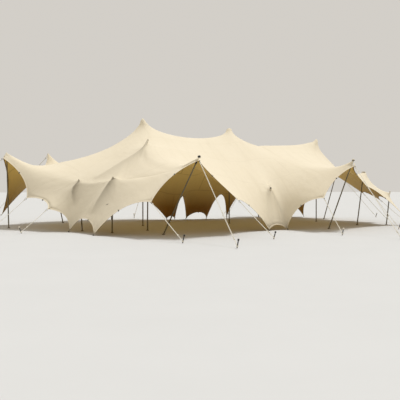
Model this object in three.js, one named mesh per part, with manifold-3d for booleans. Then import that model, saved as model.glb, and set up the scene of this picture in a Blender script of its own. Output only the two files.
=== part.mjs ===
// A freeform stretch tent: one elastic sheet welded from eight cloths, pushed up by poles of
// several heights and pulled out and down by guy ropes to stakes, with some hem points pegged
// straight to the ground. Millimetres, Z up. X runs along the front, Y from front to back.
import * as THREE from 'three';
import { mergeVertices } from 'three/addons/utils/BufferGeometryUtils.js';
import Module from 'manifold-3d';

const wasm = await Module();
wasm.setup();

// Cut of the sheet before it is stretched, and the grid that is drawn on it.
const SHEET_LENGTH = 18000;
const GRID_COLUMNS = 39;
const GRID_ROWS = 26;
const GRID_STEP = SHEET_LENGTH / GRID_COLUMNS;
const FINE_PER_STEP = 4;

// How the cloth pulls. The hem cord on each side pulls as hard as a strip of cloth this wide.
const FRONT_HEM_PULL = 1200;
const RIGHT_HEM_PULL = 900;
const BACK_HEM_PULL = 1000;
const LEFT_HEM_PULL = 2100;

// The round pads in the cloth on the tall poles and on the low ones, and how domed a pad is.
const WIDE_PAD = 170;
const SMALL_PAD = 120;
const PAD_DOME = 0.5;

// When the search for the balance stops.
const BALANCE_ERROR = 1e-14;
const MOST_TURNS = 3000;

// The cloth's thickness as a solid, and the gap between pieces that touch.
const CLOTH_THICKNESS = 12;
const TOUCH_GAP = 0.3;
const SEAM_INSET = 0.21;

// Poles, ropes, stakes and pegs.
const POLE_RADIUS = 25;
const POLE_SIDES = 10;
const FOOT_SIDES = 20;
const FOOT_RADIUS = 70;
const FOOT_THICKNESS = 10;
const HEAD_RADIUS = 25;
const POLE_NECK = 100;
const POLE_SUNK = 120;
const GROUND_BLOCK = 1200;
const LARGEST_HEAD_DROP = 500;
const TESTED_LENGTH = 500;
const ROPE_RADIUS = 9;
const ROPE_SIDES = 6;
const ROPE_TIP_LENGTH = 40;
const ROPE_END_HEIGHT = 55;
const STAKE_SIDES = 8;
const STAKE_RADIUS = 14;
const STAKE_SUNK = 60;
const STAKE_LENGTH = 290;
const STAKE_LEAN = 0.38;
const STAKE_HEAD_RADIUS = 24;
const STAKE_HEAD_THICKNESS = 14;
const PEG_RADIUS = 12;
const PEG_HEAD_RADIUS = 24;
const PEG_HEAD_THICKNESS = 10;

// Where the welded seams between the eight cloths run, in grid columns and rows.
const SEAM_COLUMNS = [0, 10, 20, 30, GRID_COLUMNS];
const SEAM_ROWS = [0, 13, GRID_ROWS];
const SEAM_ROW_NAMES = ['front', 'back'];

// A pegged hem point stops this far above the ground.
const PEG_TIE_HEIGHT = 45;

// The poles: grid column and row of the pad, the place of its top and of the pole's foot.
const POLES = {
  main_pole_left: { column: 10, row: 13, top: [3350, 4980, 5100], foot: [3350, 4980],
    pad: SMALL_PAD },
  main_pole_middle: { column: 20, row: 13, top: [8000, 5290, 4850], foot: [8000, 5290],
    pad: WIDE_PAD },
  main_pole_right: { column: 31, row: 13, top: [13060, 5070, 4450], foot: [13060, 5070],
    pad: WIDE_PAD },
  front_pole_left: { column: 8, row: 6, top: [2650, 1840, 3850], foot: [2650, 1900],
    pad: SMALL_PAD },
  prop_pole_front_corner: { column: 4, row: 4, top: [880, 665, 2230], foot: [950, 1100],
    pad: SMALL_PAD },
  prop_pole_left: { column: 2, row: 8, top: [-130, 2410, 2155], foot: [50, 2600],
    pad: SMALL_PAD },
  prop_pole_front_middle: { column: 19, row: 3, top: [7800, 600, 1804], foot: [7800, 800],
    pad: SMALL_PAD },
  prop_pole_right_inner: { column: 33, row: 3, top: [13200, 1240, 2560], foot: [13200, 1750],
    pad: WIDE_PAD },
  prop_pole_right_outer: { column: 37, row: 3, top: [14700, 1170, 1627], foot: [14760, 1500],
    pad: SMALL_PAD },
  edge_pole_front_left: { column: 9, row: 1, top: [3100, -2780, 2870], foot: [2550, -500],
    pad: SMALL_PAD },
  edge_pole_front_right: { column: 27, row: 1, top: [10250, -1880, 2950], foot: [10300, -80],
    pad: SMALL_PAD },
  edge_pole_right: { column: 38, row: 19, top: [16200, 7600, 2850], foot: [15200, 7500],
    pad: SMALL_PAD },
  edge_pole_back_right: { column: 32, row: 25, top: [12600, 11800, 2950], foot: [12550, 10700],
    pad: SMALL_PAD },
  edge_pole_back_left: { column: 8, row: 25, top: [3200, 11800, 2950], foot: [3200, 10700],
    pad: SMALL_PAD },
  edge_pole_back_corner: { column: 1, row: 25, top: [-410, 9870, 3660], foot: [250, 9100],
    pad: SMALL_PAD },
  edge_pole_left: { column: 1, row: 15, top: [-2750, 5540, 3380], foot: [-2650, 5650],
    pad: SMALL_PAD },
};

// Points along the hem, round the sheet from the front left corner. A point with a stake is held
// by a rope, an open one is the top of a gap between two ties, and the others are pegged down.
const HEM_POINTS = {
  corner_front_left: { column: 0, row: 0, at: [0, 0, PEG_TIE_HEIGHT] },
  front_1: { column: 5, row: 0, at: [1500, -2330, 1287], stake: [2030, -4010] },
  front_2: { column: 9, row: 0, at: [3020, -2980, 2720], stake: [2960, -6100] },
  front_3: { column: 13, row: 0, at: [5030, -1930, 1310], stake: [5480, -3780] },
  front_tie_1: { column: 18, row: 0, at: [7310, -150, PEG_TIE_HEIGHT] },
  front_tie_2: { column: 20, row: 0, at: [8310, 90, PEG_TIE_HEIGHT] },
  front_4: { column: 24, row: 0, at: [8850, -1850, 1380], stake: [8720, -3240] },
  front_5: { column: 27, row: 0, at: [10170, -2080, 2670], stake: [9500, -5500] },
  front_6: { column: 32, row: 0, at: [12370, -40, 1860], stake: [13000, -1380] },
  corner_front_right: { column: 39, row: 0, at: [15600, 600, PEG_TIE_HEIGHT] },
  right_1: { column: 39, row: 8, at: [15880, 3280, 1150], stake: [17300, 3100] },
  right_2: { column: 39, row: 12, at: [15970, 4800, 1490], stake: [17600, 4850] },
  right_3: { column: 39, row: 19, at: [16400, 7620, 2620], stake: [19300, 7900] },
  corner_back_right: { column: 39, row: 26, at: [15500, 10200, PEG_TIE_HEIGHT] },
  back_5: { column: 35, row: 26, at: [14100, 11600, 1400], stake: [14300, 13300] },
  back_4: { column: 32, row: 26, at: [12600, 12020, 2700], stake: [12500, 15100] },
  back_3: { column: 29, row: 26, at: [11300, 11300, 1300], stake: [11100, 12900] },
  back_tie_5: { column: 24, row: 26, at: [10100, 10200, PEG_TIE_HEIGHT] },
  back_gap_2_right: { column: 23.5, row: 26, at: [9950, 10000, 950], open: true },
  back_gap_2: { column: 23, row: 26, at: [9760, 9800, 1850], open: true },
  back_gap_2_left: { column: 22.5, row: 26, at: [9120, 10000, 950], open: true },
  back_tie_4: { column: 22, row: 26, at: [8800, 10200, PEG_TIE_HEIGHT] },
  back_tie_3: { column: 19, row: 26, at: [7500, 10200, PEG_TIE_HEIGHT] },
  back_gap_1_right: { column: 18.5, row: 26, at: [7330, 10000, 950], open: true },
  back_gap_1: { column: 18, row: 26, at: [7100, 9900, 1600], open: true },
  back_gap_1_left: { column: 17.5, row: 26, at: [6930, 10000, 950], open: true },
  back_tie_2: { column: 17, row: 26, at: [6800, 10200, PEG_TIE_HEIGHT] },
  back_tie_1: { column: 15, row: 26, at: [6300, 10200, PEG_TIE_HEIGHT] },
  back_2: { column: 12, row: 26, at: [5000, 11200, 1300], stake: [5100, 12800] },
  back_1: { column: 8, row: 26, at: [3200, 12020, 2700], stake: [3100, 15100] },
  back_0: { column: 4, row: 26, at: [1400, 11000, 1400], stake: [1200, 12600] },
  corner_back_left: { column: 0, row: 26, at: [-480, 10050, 3420], stake: [-3200, 13300] },
  left_4: { column: 0, row: 20, at: [-2800, 8300, 500], stake: [-3700, 8600] },
  left_3: { column: 0, row: 15, at: [-2900, 5420, 3100], stake: [-6000, 5900] },
  left_2: { column: 0, row: 10, at: [-2030, 4060, 1360], stake: [-3500, 3600] },
  left_1: { column: 0, row: 7, at: [-1350, 2600, 930], stake: [-2400, 2150] },
  left_tie: { column: 0, row: 5, at: [-550, 2160, PEG_TIE_HEIGHT] },
};

// Lines along which the cloth is drawn tight: the two points, how many times tighter than
// elsewhere, and the width of the tight band.
const TIGHT_LINES = [
  ['main_pole_left', 'main_pole_middle', 2.7, 800],
  ['main_pole_middle', 'main_pole_right', 1.6, 800],
  ['main_pole_left', 'front_pole_left', 0.5, 700],
  ['front_pole_left', 'main_pole_middle', 0.5, 700],
  ['front_pole_left', 'prop_pole_front_corner', 12, 450],
  ['prop_pole_front_corner', 'edge_pole_front_left', 12, 450],
  ['prop_pole_front_corner', 'prop_pole_left', 4, 450],
  ['main_pole_left', 'edge_pole_back_corner', 0.5, 800],
  ['main_pole_left', 'edge_pole_back_left', 2, 800],
  ['main_pole_right', 'edge_pole_right', 2, 800],
  ['main_pole_middle', 'edge_pole_front_right', 2.6, 700],
  ['main_pole_middle', 'prop_pole_front_middle', 3.3, 700],
  ['prop_pole_right_inner', 'prop_pole_right_outer', 0.7, 450],
  ['prop_pole_left', 'left_tie', 9, 450],
  ['prop_pole_left', 'left_4', 8, 600],
  ['edge_pole_back_corner', 'edge_pole_back_left', 6, 600],
  ['left_3', 'left_4', 9, 300],
  ['back_gap_1', 'main_pole_middle', 9, 350],
  ['back_gap_2', 'main_pole_middle', 9, 350],
  ['prop_pole_front_corner', 'left_tie', 9, 400],
];

const CLOTH_COLOUR = 0xe9dcbb;
const POLE_COLOUR = 0x4a4130;
const ROPE_COLOUR = 0xded6c2;
const STEEL_COLOUR = 0x2b2a28;

// Each grid point's place, from the balance of pulls in a net of elastic strips.
const fineStep = GRID_STEP / FINE_PER_STEP;
const fineColumns = GRID_COLUMNS * FINE_PER_STEP + 1;
const fineRows = GRID_ROWS * FINE_PER_STEP + 1;
const fineIndex = (i, j) => j * fineColumns + i;

// The points that poles and ties hold, as a map from grid index to place.
function heldPoints() {
  const held = new Map();
  for (const { column, row, top, pad } of Object.values(POLES)) {
    const reach = Math.floor(pad / fineStep);
    for (let j = -reach; j <= reach; j += 1) {
      for (let i = -reach; i <= reach; i += 1) {
        const away = Math.hypot(i, j) * fineStep;
        const drop = PAD_DOME * away ** 2 / pad;
        const index = fineIndex(column * FINE_PER_STEP + i, row * FINE_PER_STEP + j);
        const place = [top[0] + i * fineStep, top[1] + j * fineStep, top[2] - drop];
        if (away <= pad) held.set(index, place);
      }
    }
  }
  for (const { column, row, at } of Object.values(HEM_POINTS)) {
    held.set(fineIndex(column * FINE_PER_STEP, row * FINE_PER_STEP), at);
  }
  return held;
}

function gridPlace(name) {
  const { column, row } = POLES[name] ?? HEM_POINTS[name];
  return new THREE.Vector2(column * GRID_STEP, row * GRID_STEP);
}

const tightLines = TIGHT_LINES.map(([from, to, gain, width]) => {
  const start = gridPlace(from);
  const along = gridPlace(to).sub(start);
  return { start, along, gain, width };
});

// How much tighter the cloth is at a place, along the columns' and along the rows' direction.
function extraPull(s, t) {
  const pull = [0, 0];
  for (const { start, along, gain, width } of tightLines) {
    const length2 = along.lengthSq();
    const from = new THREE.Vector2(s, t).sub(start);
    const share = THREE.MathUtils.clamp(from.dot(along) / length2, 0, 1);
    const away = from.addScaledVector(along, -share).length();
    const here = gain * Math.exp(-((away / width) ** 2));
    pull[0] += here * along.x ** 2 / length2;
    pull[1] += here * along.y ** 2 / length2;
  }
  return pull;
}

// The net's strips: two ends and a pull each. A strip on the hem is half as wide, with the cord.
function netStrips() {
  const strips = [];
  const lastColumn = fineColumns - 1;
  const lastRow = fineRows - 1;
  const hemPull = (pull, cord) => (cord ? pull / 2 + cord / fineStep : pull);
  for (let j = 0; j <= lastRow; j += 1) {
    for (let i = 0; i <= lastColumn; i += 1) {
      const [s, t] = [i * fineStep, j * fineStep];
      if (i < lastColumn) {
        const cord = { 0: FRONT_HEM_PULL, [lastRow]: BACK_HEM_PULL }[j];
        const pull = hemPull(1 + extraPull(s + fineStep / 2, t)[0], cord);
        strips.push([fineIndex(i, j), fineIndex(i + 1, j), pull]);
      }
      if (j < lastRow) {
        const cord = { 0: LEFT_HEM_PULL, [lastColumn]: RIGHT_HEM_PULL }[i];
        const pull = hemPull(1 + extraPull(s, t + fineStep / 2)[1], cord);
        strips.push([fineIndex(i, j), fineIndex(i, j + 1), pull]);
      }
    }
  }
  return strips;
}

// The places of all grid points on one axis, by conjugate gradients on the net's balance.
function balance(strips, held, axis) {
  const count = fineColumns * fineRows;
  const free = new Float64Array(count).fill(1);
  const place = new Float64Array(count);
  for (const [index, at] of held) {
    free[index] = 0;
    place[index] = at[axis];
  }
  const weight = new Float64Array(count);
  for (const [a, b, pull] of strips) {
    weight[a] += pull;
    weight[b] += pull;
  }
  const pullOn = (x) => {
    const force = new Float64Array(count);
    for (const [a, b, pull] of strips) {
      const f = pull * (x[b] - x[a]);
      force[a] += f;
      force[b] -= f;
    }
    return force;
  };
  const dot = (x, y) => x.reduce((sum, value, k) => sum + value * y[k], 0);
  const rest = pullOn(place).map((f, k) => f * free[k]);
  let eased = rest.map((f, k) => f / weight[k]);
  let step = eased.slice();
  let size = dot(rest, eased);
  const target = size * BALANCE_ERROR;
  for (let turn = 0; turn < MOST_TURNS && size > target; turn += 1) {
    const answer = pullOn(step).map((f, k) => -f * free[k]);
    const share = size / dot(step, answer);
    for (let k = 0; k < count; k += 1) {
      place[k] += share * step[k];
      rest[k] -= share * answer[k];
    }
    eased = rest.map((f, k) => f / weight[k]);
    const next = dot(rest, eased);
    const keep = next / size;
    step = step.map((value, k) => eased[k] + keep * value);
    size = next;
  }
  return place;
}

// The sheet's middle surface at the coarse grid points, with a normal at each.
function formSheet() {
  const strips = netStrips();
  const held = heldPoints();
  const axes = [0, 1, 2].map((axis) => balance(strips, held, axis));
  const at = (i, j) => new THREE.Vector3(...axes.map((places) =>
    places[fineIndex(i * FINE_PER_STEP, j * FINE_PER_STEP)]));
  const points = [];
  for (let j = 0; j <= GRID_ROWS; j += 1) {
    points.push([]);
    for (let i = 0; i <= GRID_COLUMNS; i += 1) points[j].push(at(i, j));
  }
  const clampedPoint = (i, j) => points[THREE.MathUtils.clamp(j, 0, GRID_ROWS)][
    THREE.MathUtils.clamp(i, 0, GRID_COLUMNS)];
  const normals = points.map((line, j) => line.map((_, i) => {
    const across = clampedPoint(i + 1, j).clone().sub(clampedPoint(i - 1, j));
    const back = clampedPoint(i, j + 1).clone().sub(clampedPoint(i, j - 1));
    return across.cross(back).normalize();
  }));
  return { points, normals };
}

const sheet = formSheet();

function bodyGeometry(vertices, triangles) {
  const geometry = new THREE.BufferGeometry();
  const places = vertices.flatMap((v) => [v.x, v.y, v.z]);
  geometry.setAttribute('position', new THREE.Float32BufferAttribute(places, 3));
  geometry.setIndex(triangles.flat());
  return geometry;
}

// A grid corner of one cloth, drawn in by half the touch gap where a seam runs.
function clothPoint(i, j, columns, rows) {
  const place = sheet.points[j][i].clone();
  const inward = new THREE.Vector3();
  if (i === columns[0] && i > 0) inward.add(direction(i, j, i + 1, j));
  if (i === columns[1] && i < GRID_COLUMNS) inward.add(direction(i, j, i - 1, j));
  if (j === rows[0] && j > 0) inward.add(direction(i, j, i, j + 1));
  if (j === rows[1] && j < GRID_ROWS) inward.add(direction(i, j, i, j - 1));
  return place.addScaledVector(inward, SEAM_INSET);
}

function direction(i, j, toI, toJ) {
  return sheet.points[toJ][toI].clone().sub(sheet.points[j][i]).normalize();
}

// One cloth as a closed solid: its upper and under faces and the rim round them.
function clothGeometry(columns, rows) {
  const wide = columns[1] - columns[0] + 1;
  const long = rows[1] - rows[0] + 1;
  const vertices = [];
  for (const side of [0.5, -0.5]) {
    for (let j = rows[0]; j <= rows[1]; j += 1) {
      for (let i = columns[0]; i <= columns[1]; i += 1) {
        const place = clothPoint(i, j, columns, rows);
        vertices.push(place.addScaledVector(sheet.normals[j][i], side * CLOTH_THICKNESS));
      }
    }
  }
  const upper = (i, j) => j * wide + i;
  const under = (i, j) => wide * long + j * wide + i;
  const triangles = [];
  for (let j = 0; j < long - 1; j += 1) {
    for (let i = 0; i < wide - 1; i += 1) {
      triangles.push([upper(i, j), upper(i + 1, j), upper(i + 1, j + 1)]);
      triangles.push([upper(i, j), upper(i + 1, j + 1), upper(i, j + 1)]);
      triangles.push([under(i, j), under(i + 1, j + 1), under(i + 1, j)]);
      triangles.push([under(i, j), under(i, j + 1), under(i + 1, j + 1)]);
    }
  }
  // Both cloths at a seam split the rim between them along the same diagonal.
  const wall = (a, b) => {
    triangles.push([upper(...a), under(...a), under(...b)]);
    triangles.push([upper(...a), under(...b), upper(...b)]);
  };
  const facingWall = (a, b) => {
    triangles.push([upper(...a), under(...a), upper(...b)]);
    triangles.push([under(...a), under(...b), upper(...b)]);
  };
  for (let i = 0; i < wide - 1; i += 1) {
    wall([i, 0], [i + 1, 0]);
    facingWall([i + 1, long - 1], [i, long - 1]);
  }
  for (let j = 0; j < long - 1; j += 1) {
    wall([wide - 1, j], [wide - 1, j + 1]);
    facingWall([0, j + 1], [0, j]);
  }
  return bodyGeometry(vertices, triangles);
}

// Joins and cuts of closed shapes.
function solidOf(geometry) {
  const bare = geometry.clone();
  bare.deleteAttribute('normal');
  bare.deleteAttribute('uv');
  const merged = mergeVertices(bare, 1e-4);
  const vertProperties = new Float32Array(merged.attributes.position.array);
  const triVerts = new Uint32Array(merged.index.array);
  return new wasm.Manifold(new wasm.Mesh({ numProp: 3, vertProperties, triVerts }));
}

function geometryOf(solid) {
  const { vertProperties, triVerts, numProp } = solid.getMesh();
  const places = [];
  for (let k = 0; k < vertProperties.length; k += numProp) {
    places.push(vertProperties[k], vertProperties[k + 1], vertProperties[k + 2]);
  }
  const geometry = new THREE.BufferGeometry();
  geometry.setAttribute('position', new THREE.Float32BufferAttribute(places, 3));
  geometry.setIndex([...triVerts]);
  return geometry;
}

// The eight cloths of the sheet.
const cloths = [];
for (let r = 0; r < SEAM_ROW_NAMES.length; r += 1) {
  for (let c = 0; c < SEAM_COLUMNS.length - 1; c += 1) {
    const columns = [SEAM_COLUMNS[c], SEAM_COLUMNS[c + 1]];
    const rows = [SEAM_ROWS[r], SEAM_ROWS[r + 1]];
    const geometry = clothGeometry(columns, rows);
    const name = `canopy_${SEAM_ROW_NAMES[r]}_${c + 1}`;
    cloths.push({ name, geometry, solid: solidOf(geometry) });
  }
}

function touchesCloth(solid) {
  return cloths.some((cloth) => !cloth.solid.intersect(solid).isEmpty());
}

// A turned shape on the Z axis, laid along the line from one point towards another.
function turned(profile, sides, from, towards) {
  const geometry = new THREE.LatheGeometry(profile.map(([r, h]) => new THREE.Vector2(r, h)), sides);
  const aim = towards.clone().sub(from).normalize();
  const turn = new THREE.Quaternion().setFromUnitVectors(new THREE.Vector3(0, 1, 0), aim);
  geometry.applyQuaternion(turn);
  geometry.translate(from.x, from.y, from.z);
  return geometry;
}

// The part of a solid above the ground.
function aboveGround(solid, around) {
  const block = new THREE.BoxGeometry(GROUND_BLOCK, GROUND_BLOCK, GROUND_BLOCK);
  block.translate(around.x, around.y, -GROUND_BLOCK / 2);
  return solid.subtract(solidOf(block));
}

// The rounded head of a pole, as rings of a turned profile above the head's middle.
const headProfile = [[0.62, -1.5], [1, -0.5], [1, 0.1], [0.72, 0.7], [0, 1]]
  .map(([r, h]) => [r * HEAD_RADIUS, h * HEAD_RADIUS]);

// How far below the cloth's point a head's middle lies, so that the head and the pole's upper end
// just clear the cloth: the span between a place that touches and one that doesn't is halved until
// it is small.
function headDrop(apex, aim) {
  const touchesAt = (drop) => {
    const middle = apex.clone().addScaledVector(aim, -drop);
    const upperEnd = [[0, -TESTED_LENGTH], [POLE_RADIUS, -TESTED_LENGTH], [POLE_RADIUS, -POLE_NECK]];
    const profile = [...upperEnd, ...headProfile];
    const head = turned(profile, POLE_SIDES, middle, middle.clone().add(aim));
    return touchesCloth(solidOf(head));
  };
  let touching = 0;
  let clear = LARGEST_HEAD_DROP;
  while (clear - touching > TOUCH_GAP / 3) {
    const between = (clear + touching) / 2;
    if (touchesAt(between)) touching = between;
    else clear = between;
  }
  return clear + TOUCH_GAP;
}

// A pole from its round foot on the ground to its head under the cloth.
function poleGeometry(column, row, foot) {
  const apex = sheet.points[row][column].clone();
  const base = new THREE.Vector3(foot[0], foot[1], 0);
  const aim = apex.clone().sub(base).normalize();
  const middle = apex.clone().addScaledVector(aim, -headDrop(apex, aim));
  const length = middle.distanceTo(base);
  const profile = [[0, -POLE_SUNK], [POLE_RADIUS, -POLE_SUNK], [POLE_RADIUS, length - POLE_NECK]];
  for (const [r, h] of headProfile) profile.push([r, length + h]);
  const shaft = turned(profile, POLE_SIDES, base, middle);
  const plateShape = [[0, 0], [FOOT_RADIUS, 0], [FOOT_RADIUS, FOOT_THICKNESS], [0, FOOT_THICKNESS]];
  const plate = turned(plateShape, FOOT_SIDES, base, base.clone().setZ(1));
  return geometryOf(aboveGround(solidOf(shaft), base).add(solidOf(plate)));
}

// The rope of a guy, with a spliced tip that starts some way off the hem point.
function ropeSolid(tie, aim, low, away) {
  const start = tie.clone().addScaledVector(aim, away);
  const length = start.distanceTo(low);
  const shape = [[0, 0], [ROPE_RADIUS, ROPE_TIP_LENGTH], [ROPE_RADIUS, length], [0, length]];
  return solidOf(turned(shape, ROPE_SIDES, start, low));
}

// A guy: the rope from a hem point to its stake, and the stake, which leans away from the tent.
// The rope's tip is drawn back from the hem in small steps until it clears the cloth.
function guyGeometry(column, row, stake) {
  const tie = sheet.points[row][column].clone();
  const ground = new THREE.Vector3(stake[0], stake[1], 0);
  const outward = ground.clone().sub(tie).setZ(0).normalize();
  const lean = outward.clone().multiplyScalar(STAKE_LEAN).setZ(1).normalize();
  const low = ground.clone().addScaledVector(lean, ROPE_END_HEIGHT / lean.z);
  const aim = low.clone().sub(tie).normalize();
  let away = 0;
  while (touchesCloth(ropeSolid(tie, aim, low, away))) away += TOUCH_GAP;
  const rope = ropeSolid(tie, aim, low, away + TOUCH_GAP);
  const neck = STAKE_LENGTH - STAKE_HEAD_THICKNESS;
  const shape = [[0, -STAKE_SUNK], [STAKE_RADIUS, -STAKE_SUNK], [STAKE_RADIUS, neck],
    [STAKE_HEAD_RADIUS, neck], [STAKE_HEAD_RADIUS, STAKE_LENGTH], [0, STAKE_LENGTH]];
  const bar = solidOf(turned(shape, STAKE_SIDES, ground, ground.clone().add(lean)));
  return geometryOf(aboveGround(bar, ground).add(rope));
}

// A peg driven in under a hem corner, with its flat head against the corner's lowest edge.
function pegGeometry(column, row) {
  const tie = sheet.points[row][column];
  const normal = sheet.normals[row][column];
  const top = tie.z - Math.abs(normal.z) * CLOTH_THICKNESS / 2 - TOUCH_GAP;
  const neck = top - PEG_HEAD_THICKNESS;
  const shape = [[0, 0], [PEG_RADIUS, 0], [PEG_RADIUS, neck], [PEG_HEAD_RADIUS, neck],
    [PEG_HEAD_RADIUS, top], [0, top]];
  const base = new THREE.Vector3(tie.x, tie.y, 0);
  return turned(shape, POLE_SIDES, base, base.clone().setZ(1));
}

const materials = {
  cloth: { color: CLOTH_COLOUR, roughness: 0.85, metalness: 0 },
  pole: { color: POLE_COLOUR, roughness: 0.7, metalness: 0 },
  rope: { color: ROPE_COLOUR, roughness: 0.9, metalness: 0 },
  steel: { color: STEEL_COLOUR, roughness: 0.5, metalness: 0.8 },
};

const pieces = new THREE.Group();

function addPiece(name, geometry, material) {
  const mesh = new THREE.Mesh(geometry, new THREE.MeshStandardMaterial(materials[material]));
  mesh.name = name;
  pieces.add(mesh);
}

for (const { name, geometry } of cloths) addPiece(name, geometry, 'cloth');

for (const [name, { column, row, foot }] of Object.entries(POLES)) {
  addPiece(name, poleGeometry(column, row, foot), 'pole');
}

for (const [name, { column, row, stake, open }] of Object.entries(HEM_POINTS)) {
  if (stake) addPiece(`guy_${name}`, guyGeometry(column, row, stake), 'rope');
  else if (!open) addPiece(`peg_${name}`, pegGeometry(column, row), 'steel');
}

// The origin is under the middle of the whole tent, on the ground.
const box = new THREE.Box3().setFromObject(pieces);
const middle = box.getCenter(new THREE.Vector3());
pieces.position.set(-middle.x, -middle.y, 0);

const tent = new THREE.Group();
tent.add(pieces);

export default tent;
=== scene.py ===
"""A freeform stretch tent, dressed around its fixed frame: one elastic sheet on timber poles, held
out by double guy ropes to leaning stakes and pegged to the ground in places. Metres, Z up."""

import math

import bpy
import numpy as np
from mathutils import Matrix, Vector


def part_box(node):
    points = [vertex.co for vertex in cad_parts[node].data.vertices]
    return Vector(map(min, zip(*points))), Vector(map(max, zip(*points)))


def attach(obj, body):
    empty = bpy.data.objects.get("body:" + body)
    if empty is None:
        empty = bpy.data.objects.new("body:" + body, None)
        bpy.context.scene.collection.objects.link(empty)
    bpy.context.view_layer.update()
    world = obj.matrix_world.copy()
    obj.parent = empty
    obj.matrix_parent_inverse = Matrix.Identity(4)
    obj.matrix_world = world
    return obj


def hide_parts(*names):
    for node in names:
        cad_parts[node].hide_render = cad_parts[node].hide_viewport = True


bl_info = {
    "name": "Stretch Tent",
    "version": (1, 0, 0),
    "blender": (4, 5, 0),
    "location": "View3D > Sidebar > Stretch Tent",
    "description": "Dresses the frame of a stretch tent with its cloth, poles, ropes and pegs",
    "category": "Object",
}

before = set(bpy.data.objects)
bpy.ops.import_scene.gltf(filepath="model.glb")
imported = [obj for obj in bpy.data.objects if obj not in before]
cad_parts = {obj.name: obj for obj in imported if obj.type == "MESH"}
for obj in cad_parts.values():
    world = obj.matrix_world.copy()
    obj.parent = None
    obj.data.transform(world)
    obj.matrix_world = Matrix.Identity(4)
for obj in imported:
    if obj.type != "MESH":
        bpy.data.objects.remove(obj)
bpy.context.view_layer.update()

# The sheet's cut and the grid drawn on it.
SHEET_LENGTH = 18.0
GRID_COLUMNS = 39
GRID_ROWS = 26
FINE = 6
STEP = SHEET_LENGTH / GRID_COLUMNS / FINE
ACROSS = GRID_COLUMNS * FINE + 1
DEEP = GRID_ROWS * FINE + 1

# How the cloth pulls: each side's hem cord as a strip of cloth this wide.
HEM_PULL = {"front": 1.2, "right": 0.9, "back": 1.0, "left": 2.1}

# The radii of the pads that poles push up, how far each pad's edge drops in radii, and how far
# apart the cloth's points lie on it, as a share of their distance on the cut.
WIDE_PAD = 0.17
POINTED_PAD = 0.16
SMALL_PAD = 0.08
PAD_DROP = {WIDE_PAD: 0.5, POINTED_PAD: 0.9, SMALL_PAD: 0.85}
PAD_GATHER = {WIDE_PAD: 0.9, POINTED_PAD: 0.65, SMALL_PAD: 0.55}

# How high the hem lies where it is pegged to the ground.
PEG_TIE = 0.045

# When the search for the balance of pulls ends: the share of the first imbalance that is left, or
# the most turns. Nothing is divided by less than TINY or by a length below LEAST_LENGTH.
BALANCE_ERROR = 1e-12
MOST_TURNS = 4000
TINY = 1e-300
LEAST_LENGTH = 1e-12

# The poles: grid column and row of the pad, the top, the foot, the pad's radius, and its cap.
POLES = {
    "main_pole_left": (10, 13, (3.35, 4.98, 5.1), (3.35, 4.98), POINTED_PAD, None),
    "main_pole_middle": (20, 13, (8.0, 5.29, 4.85), (8.0, 5.29), WIDE_PAD, None),
    "main_pole_right": (31, 13, (13.06, 5.07, 4.45), (13.06, 5.07), POINTED_PAD, None),
    "front_pole_left": (8, 6, (2.65, 1.84, 3.85), (2.65, 1.9), SMALL_PAD, None),
    "prop_pole_front_corner": (4, 4, (0.88, 0.665, 2.23), (0.95, 1.1), SMALL_PAD, None),
    "prop_pole_left": (2, 8, (-0.13, 2.41, 2.155), (0.05, 2.6), SMALL_PAD, None),
    "prop_pole_front_middle": (19, 3, (7.8, 0.6, 1.804), (7.8, 0.8), SMALL_PAD, "small"),
    "prop_pole_right_inner": (33, 3, (13.2, 1.24, 2.56), (13.2, 1.75), WIDE_PAD, "flat"),
    "prop_pole_right_outer": (37, 3, (14.7, 1.17, 1.627), (14.76, 1.5), SMALL_PAD, "flat"),
    "edge_pole_front_left": (9, 1, (3.1, -2.78, 2.87), (2.55, -0.5), SMALL_PAD, "dark"),
    "edge_pole_front_right": (27, 1, (10.25, -1.88, 2.95), (10.3, -0.08), SMALL_PAD, "pale"),
    "edge_pole_right": (38, 19, (16.2, 7.6, 2.85), (15.2, 7.5), SMALL_PAD, "pale"),
    "edge_pole_back_right": (32, 25, (12.6, 11.8, 2.95), (12.55, 10.7), SMALL_PAD, "pale"),
    "edge_pole_back_left": (8, 25, (3.2, 11.8, 2.95), (3.2, 10.7), SMALL_PAD, "dark"),
    "edge_pole_back_corner": (1, 25, (-0.41, 9.87, 3.66), (0.25, 9.1), SMALL_PAD, None),
    "edge_pole_left": (1, 15, (-2.75, 5.54, 3.38), (-2.65, 5.65), SMALL_PAD, None),
}

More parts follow.
